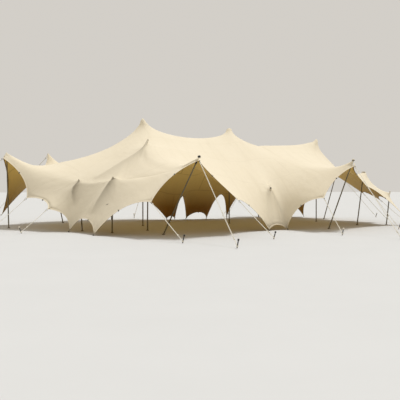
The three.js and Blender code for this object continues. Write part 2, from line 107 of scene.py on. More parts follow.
# Points along the hem: grid column and row, place, and the stake of the rope that holds it. A point
# without a stake is pegged down, or is the top of a gap where it stands high.
HEM_POINTS = {
    "corner_front_left": (0, 0, (0, 0, PEG_TIE), None),
    "front_1": (5, 0, (1.5, -2.33, 1.287), (2.03, -4.01)),
    "front_2": (9, 0, (3.02, -2.98, 2.72), (2.96, -6.1)),
    "front_3": (13, 0, (5.03, -1.93, 1.31), (5.48, -3.78)),
    "front_tie_1": (18, 0, (7.31, -0.15, PEG_TIE), None),
    "front_tie_2": (20, 0, (8.31, 0.09, PEG_TIE), None),
    "front_4": (24, 0, (8.85, -1.85, 1.38), (8.72, -3.24)),
    "front_5": (27, 0, (10.17, -2.08, 2.67), (9.5, -5.5)),
    "front_6": (32, 0, (12.37, -0.04, 1.86), (13.0, -1.38)),
    "corner_front_right": (39, 0, (15.6, 0.6, PEG_TIE), None),
    "right_1": (39, 8, (15.88, 3.28, 1.15), (17.3, 3.1)),
    "right_2": (39, 12, (15.97, 4.8, 1.49), (17.6, 4.85)),
    "right_3": (39, 19, (16.4, 7.62, 2.62), (19.3, 7.9)),
    "corner_back_right": (39, 26, (15.5, 10.2, PEG_TIE), None),
    "back_5": (35, 26, (14.1, 11.6, 1.4), (14.3, 13.3)),
    "back_4": (32, 26, (12.6, 12.02, 2.7), (12.5, 15.1)),
    "back_3": (29, 26, (11.3, 11.3, 1.3), (11.1, 12.9)),
    "back_tie_5": (24, 26, (10.1, 10.2, PEG_TIE), None),
    "back_gap_2_right": (23.5, 26, (9.95, 10.0, 0.95), None),
    "back_gap_2": (23, 26, (9.76, 9.8, 1.85), None),
    "back_gap_2_left": (22.5, 26, (9.12, 10.0, 0.95), None),
    "back_tie_4": (22, 26, (8.8, 10.2, PEG_TIE), None),
    "back_tie_3": (19, 26, (7.5, 10.2, PEG_TIE), None),
    "back_gap_1_right": (18.5, 26, (7.33, 10.0, 0.95), None),
    "back_gap_1": (18, 26, (7.1, 9.9, 1.6), None),
    "back_gap_1_left": (17.5, 26, (6.93, 10.0, 0.95), None),
    "back_tie_2": (17, 26, (6.8, 10.2, PEG_TIE), None),
    "back_tie_1": (15, 26, (6.3, 10.2, PEG_TIE), None),
    "back_2": (12, 26, (5.0, 11.2, 1.3), (5.1, 12.8)),
    "back_1": (8, 26, (3.2, 12.02, 2.7), (3.1, 15.1)),
    "back_0": (4, 26, (1.4, 11.0, 1.4), (1.2, 12.6)),
    "corner_back_left": (0, 26, (-0.48, 10.05, 3.42), (-3.2, 13.3)),
    "left_4": (0, 20, (-2.8, 8.3, 0.5), (-3.7, 8.6)),
    "left_3": (0, 15, (-2.9, 5.42, 3.1), (-6.0, 5.9)),
    "left_2": (0, 10, (-2.03, 4.06, 1.36), (-3.5, 3.6)),
    "left_1": (0, 7, (-1.35, 2.6, 0.93), (-2.4, 2.15)),
    "left_tie": (0, 5, (-0.55, 2.16, PEG_TIE), None),
}

# Hem poles whose pad is strapped to the hem tie beside it, which keeps the cloth between straight.
STRAPPED = {"edge_pole_left": "left_3", "edge_pole_right": "right_3"}

# Lines along which the cloth is drawn tight: the two points, how many times, and the width.
TIGHT_LINES = [
    ("main_pole_left", "main_pole_middle", 2.7, 0.8),
    ("main_pole_middle", "main_pole_right", 1.6, 0.8),
    ("main_pole_left", "front_pole_left", 0.5, 0.7),
    ("front_pole_left", "main_pole_middle", 0.5, 0.7),
    ("front_pole_left", "prop_pole_front_corner", 12, 0.45),
    ("prop_pole_front_corner", "edge_pole_front_left", 12, 0.45),
    ("prop_pole_front_corner", "prop_pole_left", 4, 0.45),
    ("main_pole_left", "edge_pole_back_corner", 0.5, 0.8),
    ("main_pole_left", "edge_pole_back_left", 2, 0.8),
    ("main_pole_right", "edge_pole_right", 2, 0.8),
    ("main_pole_middle", "edge_pole_front_right", 2.6, 0.7),
    ("main_pole_middle", "prop_pole_front_middle", 3.3, 0.7),
    ("prop_pole_right_inner", "prop_pole_right_outer", 0.7, 0.45),
    ("prop_pole_left", "left_tie", 9, 0.45),
    ("prop_pole_left", "left_4", 8, 0.6),
    ("edge_pole_back_corner", "edge_pole_back_left", 6, 0.6),
    ("left_3", "left_4", 9, 0.3),
    ("back_gap_1", "main_pole_middle", 9, 0.35),
    ("back_gap_2", "main_pole_middle", 9, 0.35),
    ("prop_pole_front_corner", "left_tie", 9, 0.4),
]

# Crests where the cloth turns over a drawn line, and sags between two tips: the two points, by
# name or as a place on the cut, the height of the crest or depth of the sag, and its width.
CRESTS = [
    ("front_pole_left", "prop_pole_front_corner", -0.12, 0.8),
    ("prop_pole_front_corner", "edge_pole_front_left", -0.26, 0.8),
    ("prop_pole_front_corner", "prop_pole_left", -0.13, 0.6),
    ("front_pole_left", (1.6, 3.3), 0.1, 0.25),
    ("front_pole_left", (6.5, 3.3), 0.06, 0.35),
    ("front_pole_left", "edge_pole_front_left", -0.08, 0.6),
    ("prop_pole_front_corner", "edge_pole_front_left", 0.08, 0.35),
    ("prop_pole_front_corner", "prop_pole_left", 0.11, 0.22),
    ("prop_pole_front_corner", (0.25, 1.3), 0.1, 0.2),
    ("prop_pole_front_corner", "corner_front_left", 0.03, 0.25),
    ("prop_pole_left", (0.55, 2.7), 0.15, 0.16),
    ("prop_pole_front_middle", "front_tie_1", 0.06, 0.2),
    ("prop_pole_front_middle", "front_tie_2", 0.05, 0.2),
    ("main_pole_middle", "prop_pole_front_middle", 0.03, 0.35),
    ((11.1, 6.0), "main_pole_right", 0.26, 1.2),
    ("main_pole_right", (15.9, 4.85), 0.12, 0.3),
    ("main_pole_left", (3.0, 6.2), 0.04, 0.5),
    ("edge_pole_back_corner", "main_pole_left", 0.2, 0.9),
    ("edge_pole_left", (1.6, 6.9), -0.1, 0.6),
]
CREST_ROUNDING = 0.08

# Painted shade beside a crest, on its near side, where the turned cloth falls into shade: the
# pole, the point it runs towards, how far it runs, its width beside the tip, and its strength.
CREST_SHADE = [
    ("front_pole_left", (1.6, 3.3), 1.2, 0.12, 0.7),
    ("prop_pole_front_corner", (0.25, 1.3), 0.9, 0.17, 1.4),
    ("prop_pole_left", (0.55, 2.7), 1.0, 0.13, 1.6),
    ("prop_pole_front_middle", "front_tie_1", 0.45, 0.14, 0.9),
    ("prop_pole_front_middle", "front_tie_2", 0.9, 0.05, 0.9),
]
# How far before the crest the painted shade's edge starts and over what width it rises, how far
# it runs until its width has doubled, how far past the line's end it goes and over what length it
# fades there, the most that a band reaches, and the radius of the painted shade's spot on a tip.
CREST_SHADE_EDGE = (0.06, 0.09)
CREST_SHADE_FAN = 0.8
CREST_SHADE_END = (0.2, 0.5)
MOST_CREST_SHADE = 0.92
TIP_SHADE = 0.07

# Folds that fan out from a pole and from a hem tie: how many, how far they reach, and how deep as a
# share of the fold depth. A finer wave has this many more folds and this share of their depth, and
# from each spot to the next the folds turn by this phase.
POLE_FOLDS = (7, 0.42, 0.9)
TIE_FOLDS = (9, 0.5, 1.0)
FINER_FOLDS = 4
FINER_SHARE = 0.45
FOLD_PHASE = 1.7

# Over what length folds and crests rise beside a pad, and fade towards the hem.
PAD_RISE = 0.3
FOLD_HEM_FADE = 0.2
CREST_HEM_FADE = 0.3

# Welded seams: a level seam every strip, and cross seams that step aside in every other strip.
# Round each pole's pad a round patch reaches this much further out.
STRIP_WIDTH = 1.55
FIRST_LEVEL_SEAM = 0.05
CROSS_SEAM_EVERY = 3.0
PATCH_EDGE = 0.10

# The dark mark on the front left of the cloth: its place on the cut, its half sizes and its turn.
MARK = (0.85, 0.77, 0.0)
MARK_HALF = (0.075, 0.022, 1.0)
MARK_TURN = -0.6

# Stakes and pegs as the frame has them, each turned from a profile of (radius, height). Some
# stakes have dark heads, and a peg stands a little outside its hem tie.
STAKE_LEAN = 0.38
STAKE_LENGTH = 0.29
STAKE_NECK = STAKE_LENGTH - 0.014
STAKE_RADIUS = 0.018
STAKE_BAR = [(0.014, 0.006), (0.018, 0.009), (0.0185, 0.05), (0.0183, STAKE_NECK * 0.6),
             (0.0187, STAKE_NECK - 0.02), (0.021, STAKE_NECK - 0.006), (0.021, STAKE_NECK)]
STAKE_HEAD = [(0.018, STAKE_NECK - 0.032), (0.029, STAKE_NECK - 0.03), (0.031, STAKE_NECK - 0.022),
              (0.031, STAKE_LENGTH - 0.004), (0.027, STAKE_LENGTH), (0.006, STAKE_LENGTH + 0.001)]
DARK_STAKES = ("front_1", "front_2", "front_3", "back_1", "back_4", "left_2")
PEG_TOP = PEG_TIE - 0.006
PEG_OUTSIDE_TIE = 0.035
PEG = [(0.010, 0.0), (0.012, 0.002), (0.012, PEG_TOP - 0.016), (0.014, PEG_TOP - 0.012),
       (0.024, PEG_TOP - 0.010), (0.025, PEG_TOP - 0.006), (0.024, PEG_TOP - 0.001),
       (0.006, PEG_TOP)]

# A peg's webbing loop: how far below the peg's top it runs, its radius, how far its two tails reach
# in under the cloth and lie aside there, and its width and thickness.
PEG_LOOP_BELOW = 0.026
PEG_LOOP_RADIUS = 0.0165
PEG_LOOP_TAIL = 0.1
PEG_LOOP_ASIDE = 0.02
PEG_WEBBING = (0.022, 0.003)

# The hem band stands this far off the sheet.
BAND_THICKNESS = 0.0022

# A webbing loop on the hem: the least span that gets one, in columns of the cut, how far inside the
# hem it starts, how far it reaches from there, half its height, and its width and thickness.
LOOP_SPAN = 3
LOOP_INSIDE = 0.03
LOOP_REACH = 0.075
LOOP_HEIGHT = 0.02
LOOP_WEBBING = (0.04, 0.004)

# A guy's two ropes: where they start and end, how far they hang, the least rows of points and the
# rows a metre, and the strands of the lay.
ROPE_START = 0.085
ROPE_ROWS = (40, 46)
ROPE_END_HEIGHT = 0.055
ROPE_SAG = 0.012
ROPE_STRANDS = 3
STRAND_DEPTH = 0.16
# Rope turns: points in a turn and its rise in rope radii, then of each knot how far along it
# starts, its radius and thickness in rope radii, and how many turns it has.
TURN_POINTS = 14
TURN_RISE = 2.05
HEM_KNOT = (0.012, 2.1, 0.9, 4)
STAKE_KNOT = (0.28, 2.3, 0.9, 6)
STAKE_TURNS = (0.042, 4)
# The steel ring of a guy: how far from the tie, its radius, and half its thickness.
GUY_RING = (0.055, 0.034, 0.0055)
# The two straps that hold it: how far they reach in and out, how far they lie off the cloth there,
# and their width and thickness.
STRAP_REACH = (-0.14, 0.03)
STRAP_LIFT = (0.004, 0.006)
STRAP_SIZE = (0.034, 0.003)

# The photograph's camera: eye, direction on the ground, and its lens on a 36 mm sensor.
EYE = (-4.36, -21.3, 1.7)
LOOK = (0.375, 0.927)
LENS_MM = 51.75
SHIFT_Y = -0.025

# A pole's rubber nose and the timber just below it: radii in pole radii, and heights from its tip.
# Where the nose ends is found by trying: how clear of the cloth it stays, how far round the pad the
# cloth is looked at, in quarter steps of the grid, and the most that it drops and by what steps.
NOSE = [(0.85, -0.215), (1.14, -0.21), (1.18, -0.2), (1.18, -0.13), (1.1, -0.1), (0.9, -0.065),
        (0.62, -0.033), (0.34, -0.01), (0.12, 0.0)]
BELOW_NOSE = [(1.0, -0.3), (1.0, -0.45)]
NOSE_CLEARANCE = 0.01
NOSE_SEARCH = 28
MOST_DROP = 0.6
DROP_STEP = 0.01

# A pole's timber: how high it starts on its plate, the least rows of points and the rows a metre,
# its radius at the foot and how much less it is at the top, in pole radii, how uneven it has grown,
# and how far below the tip it ends. Then its rubber foot plate.
TIMBER_START = 0.012
TIMBER_ROWS = (12, 9)
TIMBER_FOOT = 1.06
TIMBER_TAPER = 0.12
TIMBER_SWELL = 0.035
TIMBER_IN_NOSE = 0.2
FOOT_PLATE = [(0.062, 0.0), (0.07, 0.002), (0.07, 0.008), (0.066, 0.0105), (0.045, 0.0115),
              (0.036, 0.03)]
PLATE_TOP = 0.03

# The caps: sides, finish and profile. The flat cap's radii are shares of the pad's radius but for
# its middle, and the pale cap has a dark band below.
ROUND_CAP = [(0.032, -0.046), (0.044, -0.046), (0.052, -0.036), (0.055, -0.02), (0.053, -0.003),
             (0.046, 0.012), (0.032, 0.024), (0.016, 0.03), (0.004, 0.031)]
SMALL_CAP = [(0.02, -0.03), (0.034, -0.034), (0.036, -0.028), (0.03, 0.0), (0.02, 0.012),
             (0.005, 0.015)]
FLAT_CAP = [(0.248, -0.006), (0.62, -0.004), (0.6324, 0.004), (0.6076, 0.014), (0.496, 0.02)]
FLAT_CAP_MIDDLE = (0.012, 0.022)
CAPS = {"dark": (24, "rubber", ROUND_CAP), "pale": (24, "pale_cap", ROUND_CAP),
        "small": (20, "rubber", SMALL_CAP), "flat": (28, "pale_cap", FLAT_CAP)}
CAP_BAND = [(0.044, -0.056), (0.054, -0.056), (0.058, -0.05), (0.057, -0.036), (0.046, -0.034)]

# The plain floor: how far it reaches each way, and how far it lies below the feet.
FLOOR_REACH = 400.0
FLOOR_DEPTH = 0.003

UP = np.array([0.0, 0.0, 1.0])
LEVEL = np.array([1.0, 1.0, 0.0])

# The layout above is moved so that the left main pole stands where the frame has it.
low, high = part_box("main_pole_left")
FOOT = POLES["main_pole_left"][3]
PLACE = np.array([(low[0] + high[0]) / 2 - FOOT[0], (low[1] + high[1]) / 2 - FOOT[1], 0.0])


def placed(point):
    """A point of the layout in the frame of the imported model."""
    return np.array([point[0], point[1], point[2] if len(point) > 2 else 0.0], float) + PLACE


def unit(vectors):
    """Vectors divided by their lengths."""
    return vectors / np.maximum(np.linalg.norm(vectors, axis=-1, keepdims=True), LEAST_LENGTH)


def round_from(first, second, angle):
    """Directions turned from first towards second: cos(angle) * first + sin(angle) * second."""
    return np.cos(angle)[:, None] * first + np.sin(angle)[:, None] * second


def grid_index(column, row):
    """The fine grid's indices of a column and row of the cut."""
    return int(column * FINE), int(row * FINE)


def held_points():
    """Which grid points are held, and where. On a pole's pad the place is the top plus gather * the
    step on the cut, lowered by drop * away^2 / radius. On the hem it is the tie's own place. A
    strapped pad and its tie also hold the points between them, on the straight line."""
    held = np.zeros((DEEP, ACROSS), bool)
    place = np.zeros((DEEP, ACROSS, 3))
    for column, row, top, _, pad, _ in POLES.values():
        reach = int(pad / STEP)
        j, i = np.mgrid[-reach : reach + 1, -reach : reach + 1]
        away = np.hypot(i, j) * STEP
        on = away <= pad
        j, i, away = j[on], i[on], away[on]
        wide = STEP * PAD_GATHER[pad]
        spots = placed(top) + np.stack([i * wide, j * wide, -PAD_DROP[pad] * away**2 / pad], -1)
        middle_i, middle_j = grid_index(column, row)
        held[middle_j + j, middle_i + i] = True
        place[middle_j + j, middle_i + i] = spots
    for column, row, at, _ in HEM_POINTS.values():
        i, j = grid_index(column, row)
        held[j, i] = True
        place[j, i] = placed(at)
    for pole, tie in STRAPPED.items():
        inner, row = grid_index(*POLES[pole][:2])
        outer, _ = grid_index(*HEM_POINTS[tie][:2])
        inner += int(np.sign(outer - inner))
        columns = np.linspace(inner, outer, abs(outer - inner) + 1).round().astype(int)
        share = np.linspace(0, 1, len(columns))[:, None]
        held[row, columns] = True
        place[row, columns] = (1 - share) * place[row, inner] + share * place[row, outer]
    return held, place


def grid_place(name):
    """A named point's place on the cut, in metres; a place that is given stays as it is."""
    if isinstance(name, tuple):
        return np.array(name)
    column, row = (POLES.get(name) or HEM_POINTS[name])[:2]
    return np.array([column, row]) * STEP * FINE


def cut_grid():
    """The places of all grid points on the cut, in metres."""
    return np.meshgrid(np.arange(ACROSS) * STEP, np.arange(DEEP) * STEP)


def beside_line(start, end, s, t):
    """Where s, t is beside the line between two points: the share of the way along, from 0 to 1,
    the distance to the line, and the line."""
    a = grid_place(start)
    line = grid_place(end) - a
    share = np.clip(((s - a[0]) * line[0] + (t - a[1]) * line[1]) / (line @ line), 0, 1)
    return share, np.hypot(s - a[0] - share * line[0], t - a[1] - share * line[1]), line


def extra_pull(s, t):
    """How much tighter the cloth is at s, t: for each tight line gain * exp(-(distance / width)^2),
    shared between the two directions by the squares of the line's direction."""
    pulls = np.zeros((2,) + s.shape)
    for start, end, gain, width in TIGHT_LINES:
        _, away, line = beside_line(start, end, s, t)
        here = gain * np.exp(-((away / width) ** 2))
        pulls += here * (line**2 / (line @ line))[:, None, None]
    return pulls


def form_sheet():
    """The grid points' places where all pulls balance: every free point is the mean of its four
    neighbours weighted by the pulls between them, solved by conjugate gradients."""
    s, t = cut_grid()
    along_s = 1 + extra_pull(s[:, :-1] + STEP / 2, t[:, :-1])[0]
    along_t = 1 + extra_pull(s[:-1], t[:-1] + STEP / 2)[1]
    along_s[[0, -1]] /= 2
    along_t[:, [0, -1]] /= 2
    along_s[0] += HEM_PULL["front"] / STEP
    along_s[-1] += HEM_PULL["back"] / STEP
    along_t[:, 0] += HEM_PULL["left"] / STEP
    along_t[:, -1] += HEM_PULL["right"] / STEP

    def pull_on(x):
        force = np.zeros_like(x)
        sideways = along_s[..., None] * np.diff(x, axis=1)
        backward = along_t[..., None] * np.diff(x, axis=0)
        force[:, :-1] += sideways
        force[:, 1:] -= sideways
        force[:-1] += backward
        force[1:] -= backward
        return force

    weight = np.zeros((DEEP, ACROSS, 1))
    weight[:, :-1, 0] += along_s
    weight[:, 1:, 0] += along_s
    weight[:-1, :, 0] += along_t
    weight[1:, :, 0] += along_t
    held, place = held_points()
    free = ~held[..., None]
    place[~held] = place[held].mean(0)
    rest = pull_on(place) * free
    eased = rest / weight
    step = eased.copy()
    size = (rest * eased).sum((0, 1))
    target = size.max() * BALANCE_ERROR
    for _ in range(MOST_TURNS):
        answer = -pull_on(step) * free
        share = size / np.maximum((step * answer).sum((0, 1)), TINY)
        place += share * step
        rest -= share * answer
        eased = rest / weight
        after = (rest * eased).sum((0, 1))
        if after.max() < target:
            break
        step = eased + after / np.maximum(size, TINY) * step
        size = after
    return place


def sheet_normals(points):
    """Unit normals: the cross product of the grid's two slopes, by central differences."""
    return unit(np.cross(np.gradient(points, axis=1), np.gradient(points, axis=0)))


def lifted(points, lift, fade):
    """The sheet moved by lift along its normals, which fades to nothing over the last stretch to
    the hem: lift * distance to the hem / fade."""
    s, t = cut_grid()
    inset = np.minimum(np.minimum(s, s[0, -1] - s), np.minimum(t, t[-1, 0] - t))
    return points + sheet_normals(points) * (lift * np.clip(inset / fade, 0, 1))[..., None]


def tension_folds(points, depth):
    """Shallow folds that fan out from each tie and each pole: depth * size * ramp(r) *
    exp(-r / reach) * cos(count * angle + phase) and a finer wave, with nothing on the pads."""
    s, t = cut_grid()
    lift = np.zeros_like(s)
    spots = [(name, *POLE_FOLDS, pole[4]) for name, pole in POLES.items()]
    spots += [(name, *TIE_FOLDS, 0.0) for name in HEM_POINTS]
    for order, (name, count, reach, size, pad) in enumerate(spots):
        a = grid_place(name)
        away = np.hypot(s - a[0], t - a[1])
        angle = np.arctan2(t - a[1], s - a[0])
        ramp = np.clip((away - pad) / PAD_RISE, 0, 1) ** 1.5
        finer = np.cos((count + FINER_FOLDS) * angle - order)
        wave = np.cos(count * angle + FOLD_PHASE * order) + FINER_SHARE * finer
        lift += size * ramp * np.exp(-away / reach) * wave
    return lifted(points, depth * lift, FOLD_HEM_FADE)


def crests(points):
    """Turns of the cloth over a drawn line: height * exp(-distance / width), rounded at the line,
    and fading to nothing at its two ends by sin(pi share)^0.6, and on the pads."""
    s, t = cut_grid()
    lift = np.zeros_like(s)
    for start, end, height, width in CRESTS:
        share, away, _ = beside_line(start, end, s, t)
        away = np.hypot(away, CREST_ROUNDING) - CREST_ROUNDING
        lift += height * np.sin(np.pi * share) ** 0.6 * np.exp(-away / width)
    for name in POLES:
        a = grid_place(name)
        lift *= np.clip((np.hypot(s - a[0], t - a[1]) - SMALL_PAD) / PAD_RISE, 0, 1)
    return lifted(points, lift, CREST_HEM_FADE)


def painted_crest_shade(s, t):
    """How much painted shade darkens the cloth at s, t, standing in for the shade beside each crest
    and on each tip. Beside each crest: strength * exp(-along / run - beside / fan), capped at the
    most that a band reaches, with a sharp edge on the crest, a fan that widens away from the tip
    and a fade past the line's end. On the tip: exp(-(distance / the spot's radius)^2)."""
    dark = np.zeros_like(s)
    for start, end, run, width, strength in CREST_SHADE:
        a = grid_place(start)
        toward = grid_place(end) - a
        length = np.hypot(*toward)
        toward = toward / length
        along = (s - a[0]) * toward[0] + (t - a[1]) * toward[1]
        beside = (t - a[1]) * toward[0] - (s - a[0]) * toward[1]
        past = np.clip(along, 0, None)
        edge = np.clip((beside + CREST_SHADE_EDGE[0]) / CREST_SHADE_EDGE[1], 0, 1)
        fan = width * (1 + past / CREST_SHADE_FAN)
        band = strength * np.exp(-past / run - np.clip(beside, 0, None) / fan)
        ending = np.clip((length + CREST_SHADE_END[0] - along) / CREST_SHADE_END[1], 0, 1)
        band = edge * np.minimum(band, MOST_CREST_SHADE) * ending
        tip = np.exp(-((np.hypot(s - a[0], t - a[1]) / TIP_SHADE) ** 2))
        dark = np.maximum(dark, np.maximum(band * (along > -width), tip))
    return dark


# The sheet, once it is formed.
SHEET = {}


def formed():
    """The sheet's middle surface and its normals, worked out once."""
    if not SHEET:
        depth = bpy.context.scene.tent_cloth.fold_depth
        SHEET["points"] = tension_folds(crests(form_sheet()), depth)
        SHEET["normals"] = sheet_normals(SHEET["points"])
    return SHEET["points"], SHEET["normals"]


def on_sheet(s, t):
    """Places on the sheet at s, t of the cut and the normals there, bilinear between the four
    nearest grid points."""
    points, normals = formed()
    x = np.clip(np.asarray(s) / STEP, 0, ACROSS - 1 - 1e-9)
    y = np.clip(np.asarray(t) / STEP, 0, DEEP - 1 - 1e-9)
    i, j = x.astype(int), y.astype(int)
    a, b = (x - i)[..., None], (y - j)[..., None]

    def mixed(grid):
        front = grid[j, i] * (1 - a) + grid[j, i + 1] * a
        back = grid[j + 1, i] * (1 - a) + grid[j + 1, i + 1] * a
        return front * (1 - b) + back * b

    return mixed(points), unit(mixed(normals))


def surface(points, uv, wrap=False, caps=False, material=0):
    """A grid of points (rows, columns) as quads that face columns x rows. With wrap the last column
    joins the first, and uv has one column more. With caps the first and last rows are closed."""
    rows, columns = points.shape[:2]
    wide = columns if wrap else columns - 1
    r, c = np.mgrid[0 : rows - 1, 0:wide]
    r, c = r.ravel(), c.ravel()
    following = (c + 1) % columns
    quads = np.stack([r * columns + c, r * columns + following, (r + 1) * columns + following,
                      (r + 1) * columns + c], -1)
    quad_uv = np.stack([uv[r, c], uv[r, c + 1], uv[r + 1, c + 1], uv[r + 1, c]], 1)
    blocks = [(quads, quad_uv)]
    if caps:
        first = np.arange(columns)
        last = (rows - 1) * columns + first
        blocks.append((first[None, ::-1], uv[0, :columns][None, ::-1]))
        blocks.append((last[None], uv[-1, :columns][None]))
    return points.reshape(-1, 3), blocks, material


def across(axis):
    """Two directions across an axis that is not the Y axis, and across each other."""
    side = unit(np.cross([0.0, 1.0, 0.0], axis))
    return side, np.cross(axis, side)


def turned(profile, base, top, sides, material=0, bump=0.0, phase=0.0):
    """A profile of (radius, height) turned round the line from base towards top:
    base + height * axis + radius * (cos a * side + sin a * other). With bump the radius also varies
    by bump * sin(3 a + 5 h) * sin(2 h + phase), as a grown pole does."""
    profile = np.asarray(profile, float)
    axis = unit(top - base)
    side, other = across(axis)
    angle = np.linspace(0, 2 * np.pi, sides, endpoint=False)
    radius, height = profile[:, :1], profile[:, 1:]
    wave = np.sin(3 * angle + 5 * height) * np.sin(2 * height + phase)
    swell = radius * (1 + bump * wave)
    out = round_from(side, other, angle)
    points = base + height[..., None] * axis + swell[..., None] * out
    run = np.concatenate([[0], np.cumsum(np.linalg.norm(np.diff(profile, axis=0), axis=1))])
    around = np.linspace(0, 2 * np.pi, sides + 1)
    uv = np.stack(np.broadcast_arrays(around * profile[:, 0].max(), run[:, None]), -1)
    return surface(points, uv, wrap=True, caps=True, material=material)


def swept(path, side, up, section, closed=False, material=0, twist=None):
    """A closed section (a, b) carried along a path: path + a * side + b * up. A twist is an angle
    at each point of the path, by which the section is turned there."""
    section = np.asarray(section, float)
    a, b = section[:, 0], section[:, 1]
    if twist is None:
        a, b = np.broadcast_to(a, (len(path), len(a))), np.broadcast_to(b, (len(path), len(b)))
    else:
        cos, sin = np.cos(twist)[:, None], np.sin(twist)[:, None]
        a, b = a * cos - b * sin, a * sin + b * cos
    points = path[:, None] + a[..., None] * side[:, None] + b[..., None] * up[:, None]
    lengths = np.linalg.norm(np.diff(path, axis=0), axis=1)
    run = np.concatenate([[0], np.cumsum(lengths)])
    edge = np.linalg.norm(np.diff(section, axis=0, append=section[:1]), axis=1)
    around = np.concatenate([[0], np.cumsum(edge)])
    if closed:
        points = np.concatenate([points, points[:1]])
        run = np.append(run, run[-1] + np.linalg.norm(path[0] - path[-1]))
    uv = np.stack(np.broadcast_arrays(around, run[:, None]), -1)
    if not closed:
        return surface(points, uv, wrap=True, caps=True, material=material)
    places, blocks, material = surface(points, uv, wrap=True, material=material)
    count = len(path) * len(section)
    blocks = [(faces % count, block_uv) for faces, block_uv in blocks]
    return places[:count], blocks, material


def ring_section(radius, sides, lobes=0, depth=0.0):
    """A round section, its radius radius * (1 + depth * cos(lobes * angle))."""
    angle = np.linspace(0, 2 * np.pi, sides, endpoint=False)
    size = radius * (1 + depth * np.cos(lobes * angle))
    return np.stack([size * np.cos(angle), size * np.sin(angle)], -1)


def flat_section(width, thickness):
    """A flat strip's section, centred, with its upper long edges bevelled."""
    w, h = width / 2, thickness / 2
    return [(-w, -h), (w, -h), (w, 0.2 * h), (0.86 * w, h), (-0.86 * w, h), (-w, 0.2 * h)]


def make_piece(name, parts, materials, replaces=(), smooth=40.0):
    """One mesh object from several surfaces, with its uv map in metres, riding on the frame. Its
    edges that turn by more than smooth degrees are sharp, and with 0 none is."""
    places, faces, uvs, looks = [], [], [], []
    start = 0
    for points, blocks, material in parts:
        places.append(points)
        for block, block_uv in blocks:
            faces += (block + start).tolist()
            uvs.append(block_uv.reshape(-1, 2))
            looks += np.broadcast_to(material, len(block)).tolist()
        start += len(points)
    mesh = bpy.data.meshes.new(name)
    mesh.from_pydata(np.concatenate(places).tolist(), [], faces)
    layer = mesh.uv_layers.new(name="cut")
    layer.data.foreach_set("uv", np.concatenate(uvs).astype(np.float32).ravel())
    mesh.polygons.foreach_set("material_index", np.array(looks, np.int32))
    for material in materials:
        mesh.materials.append(bpy.data.materials[material])
    mesh.update()
    mesh.shade_smooth()
    if smooth:
        mesh.set_sharp_from_angle(angle=math.radians(smooth))
    piece = bpy.data.objects.new(name, mesh)
    bpy.context.scene.collection.objects.link(piece)
    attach(piece, "root")
    if replaces:
        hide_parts(*replaces)
    return piece


class Tree:
    """Adds nodes to a node tree. An input is a number, a colour or another node's output."""

    def __init__(self, tree):
        self.tree = tree
        tree.nodes.clear()

    def add(self, kind, inputs=None, **attributes):
        """A new node with these inputs and attributes."""
        made = self.tree.nodes.new(kind)
        for key, value in attributes.items():
            setattr(made, key, value)
        for key, value in (inputs or {}).items():
            self.set(made.inputs[key], value)
        return made

    def set(self, socket, value):
        """Links an output to the socket, or sets the socket's own value."""
        if isinstance(value, bpy.types.NodeSocket):
            self.tree.links.new(value, socket)
        else:
            socket.default_value = value

    def math(self, operation, a, b=0.0, clamp=False):
        """The result of one sum."""
        made = self.add("ShaderNodeMath", {0: a, 1: b}, operation=operation, use_clamp=clamp)
        return made.outputs[0]

    def times(self, a, b):
        """The product of two values."""
        return self.math("MULTIPLY", a, b)

    def mix(self, share, a, b):
        """A colour between a and b by the share."""
        made = self.add("ShaderNodeMix", data_type="RGBA")
        for key, value in ((0, share), (6, a), (7, b)):
            self.set(made.inputs[key], value)
        return made.outputs[2]

    def laid(self, base, mask, amount, colour):
        """A colour laid over the base where the mask is, as strongly as amount."""
        return self.mix(self.times(mask, amount), base, colour)

    def spread(self, value, low, high, to_low=0.0, to_high=1.0):
        """The value carried from the range low to high over to another range, and held there."""
        inputs = {0: value, 1: low, 2: high, 3: to_low, 4: to_high}
        return self.add("ShaderNodeMapRange", inputs).outputs[0]

    def split(self, where):
        """The three parts of a place."""
        return self.add("ShaderNodeSeparateXYZ", {0: where}).outputs

    def painted(self, name):
        """A value that the mesh carries at each point."""
        return self.add("ShaderNodeAttribute", attribute_name=name).outputs["Fac"]

    def noise(self, where, scale, detail, roughness):
        """Cloudy noise from 0 to 1 with this many clouds a metre."""
        inputs = {"Vector": where, "Scale": scale, "Detail": detail, "Roughness": roughness}
        return self.add("ShaderNodeTexNoise", inputs).outputs[0]

    def scaled(self, where, scale):
        """Places drawn out or pressed together along their three axes."""
        return self.add("ShaderNodeMapping", {"Vector": where, "Scale": scale}).outputs[0]


def start_group(name, inputs, outputs):
    """A shader node group with float or vector sockets: its tree, input and output."""
    group = bpy.data.node_groups.new(name, "ShaderNodeTree")
    kinds = {"f": "NodeSocketFloat", "v": "NodeSocketVector"}
    for label, kind in inputs:
        group.interface.new_socket(name=label, in_out="INPUT", socket_type=kinds[kind])
    for label, kind in outputs:
        group.interface.new_socket(name=label, in_out="OUTPUT", socket_type=kinds[kind])
    tree = Tree(group)
    return tree, tree.add("NodeGroupInput").outputs, tree.add("NodeGroupOutput").inputs


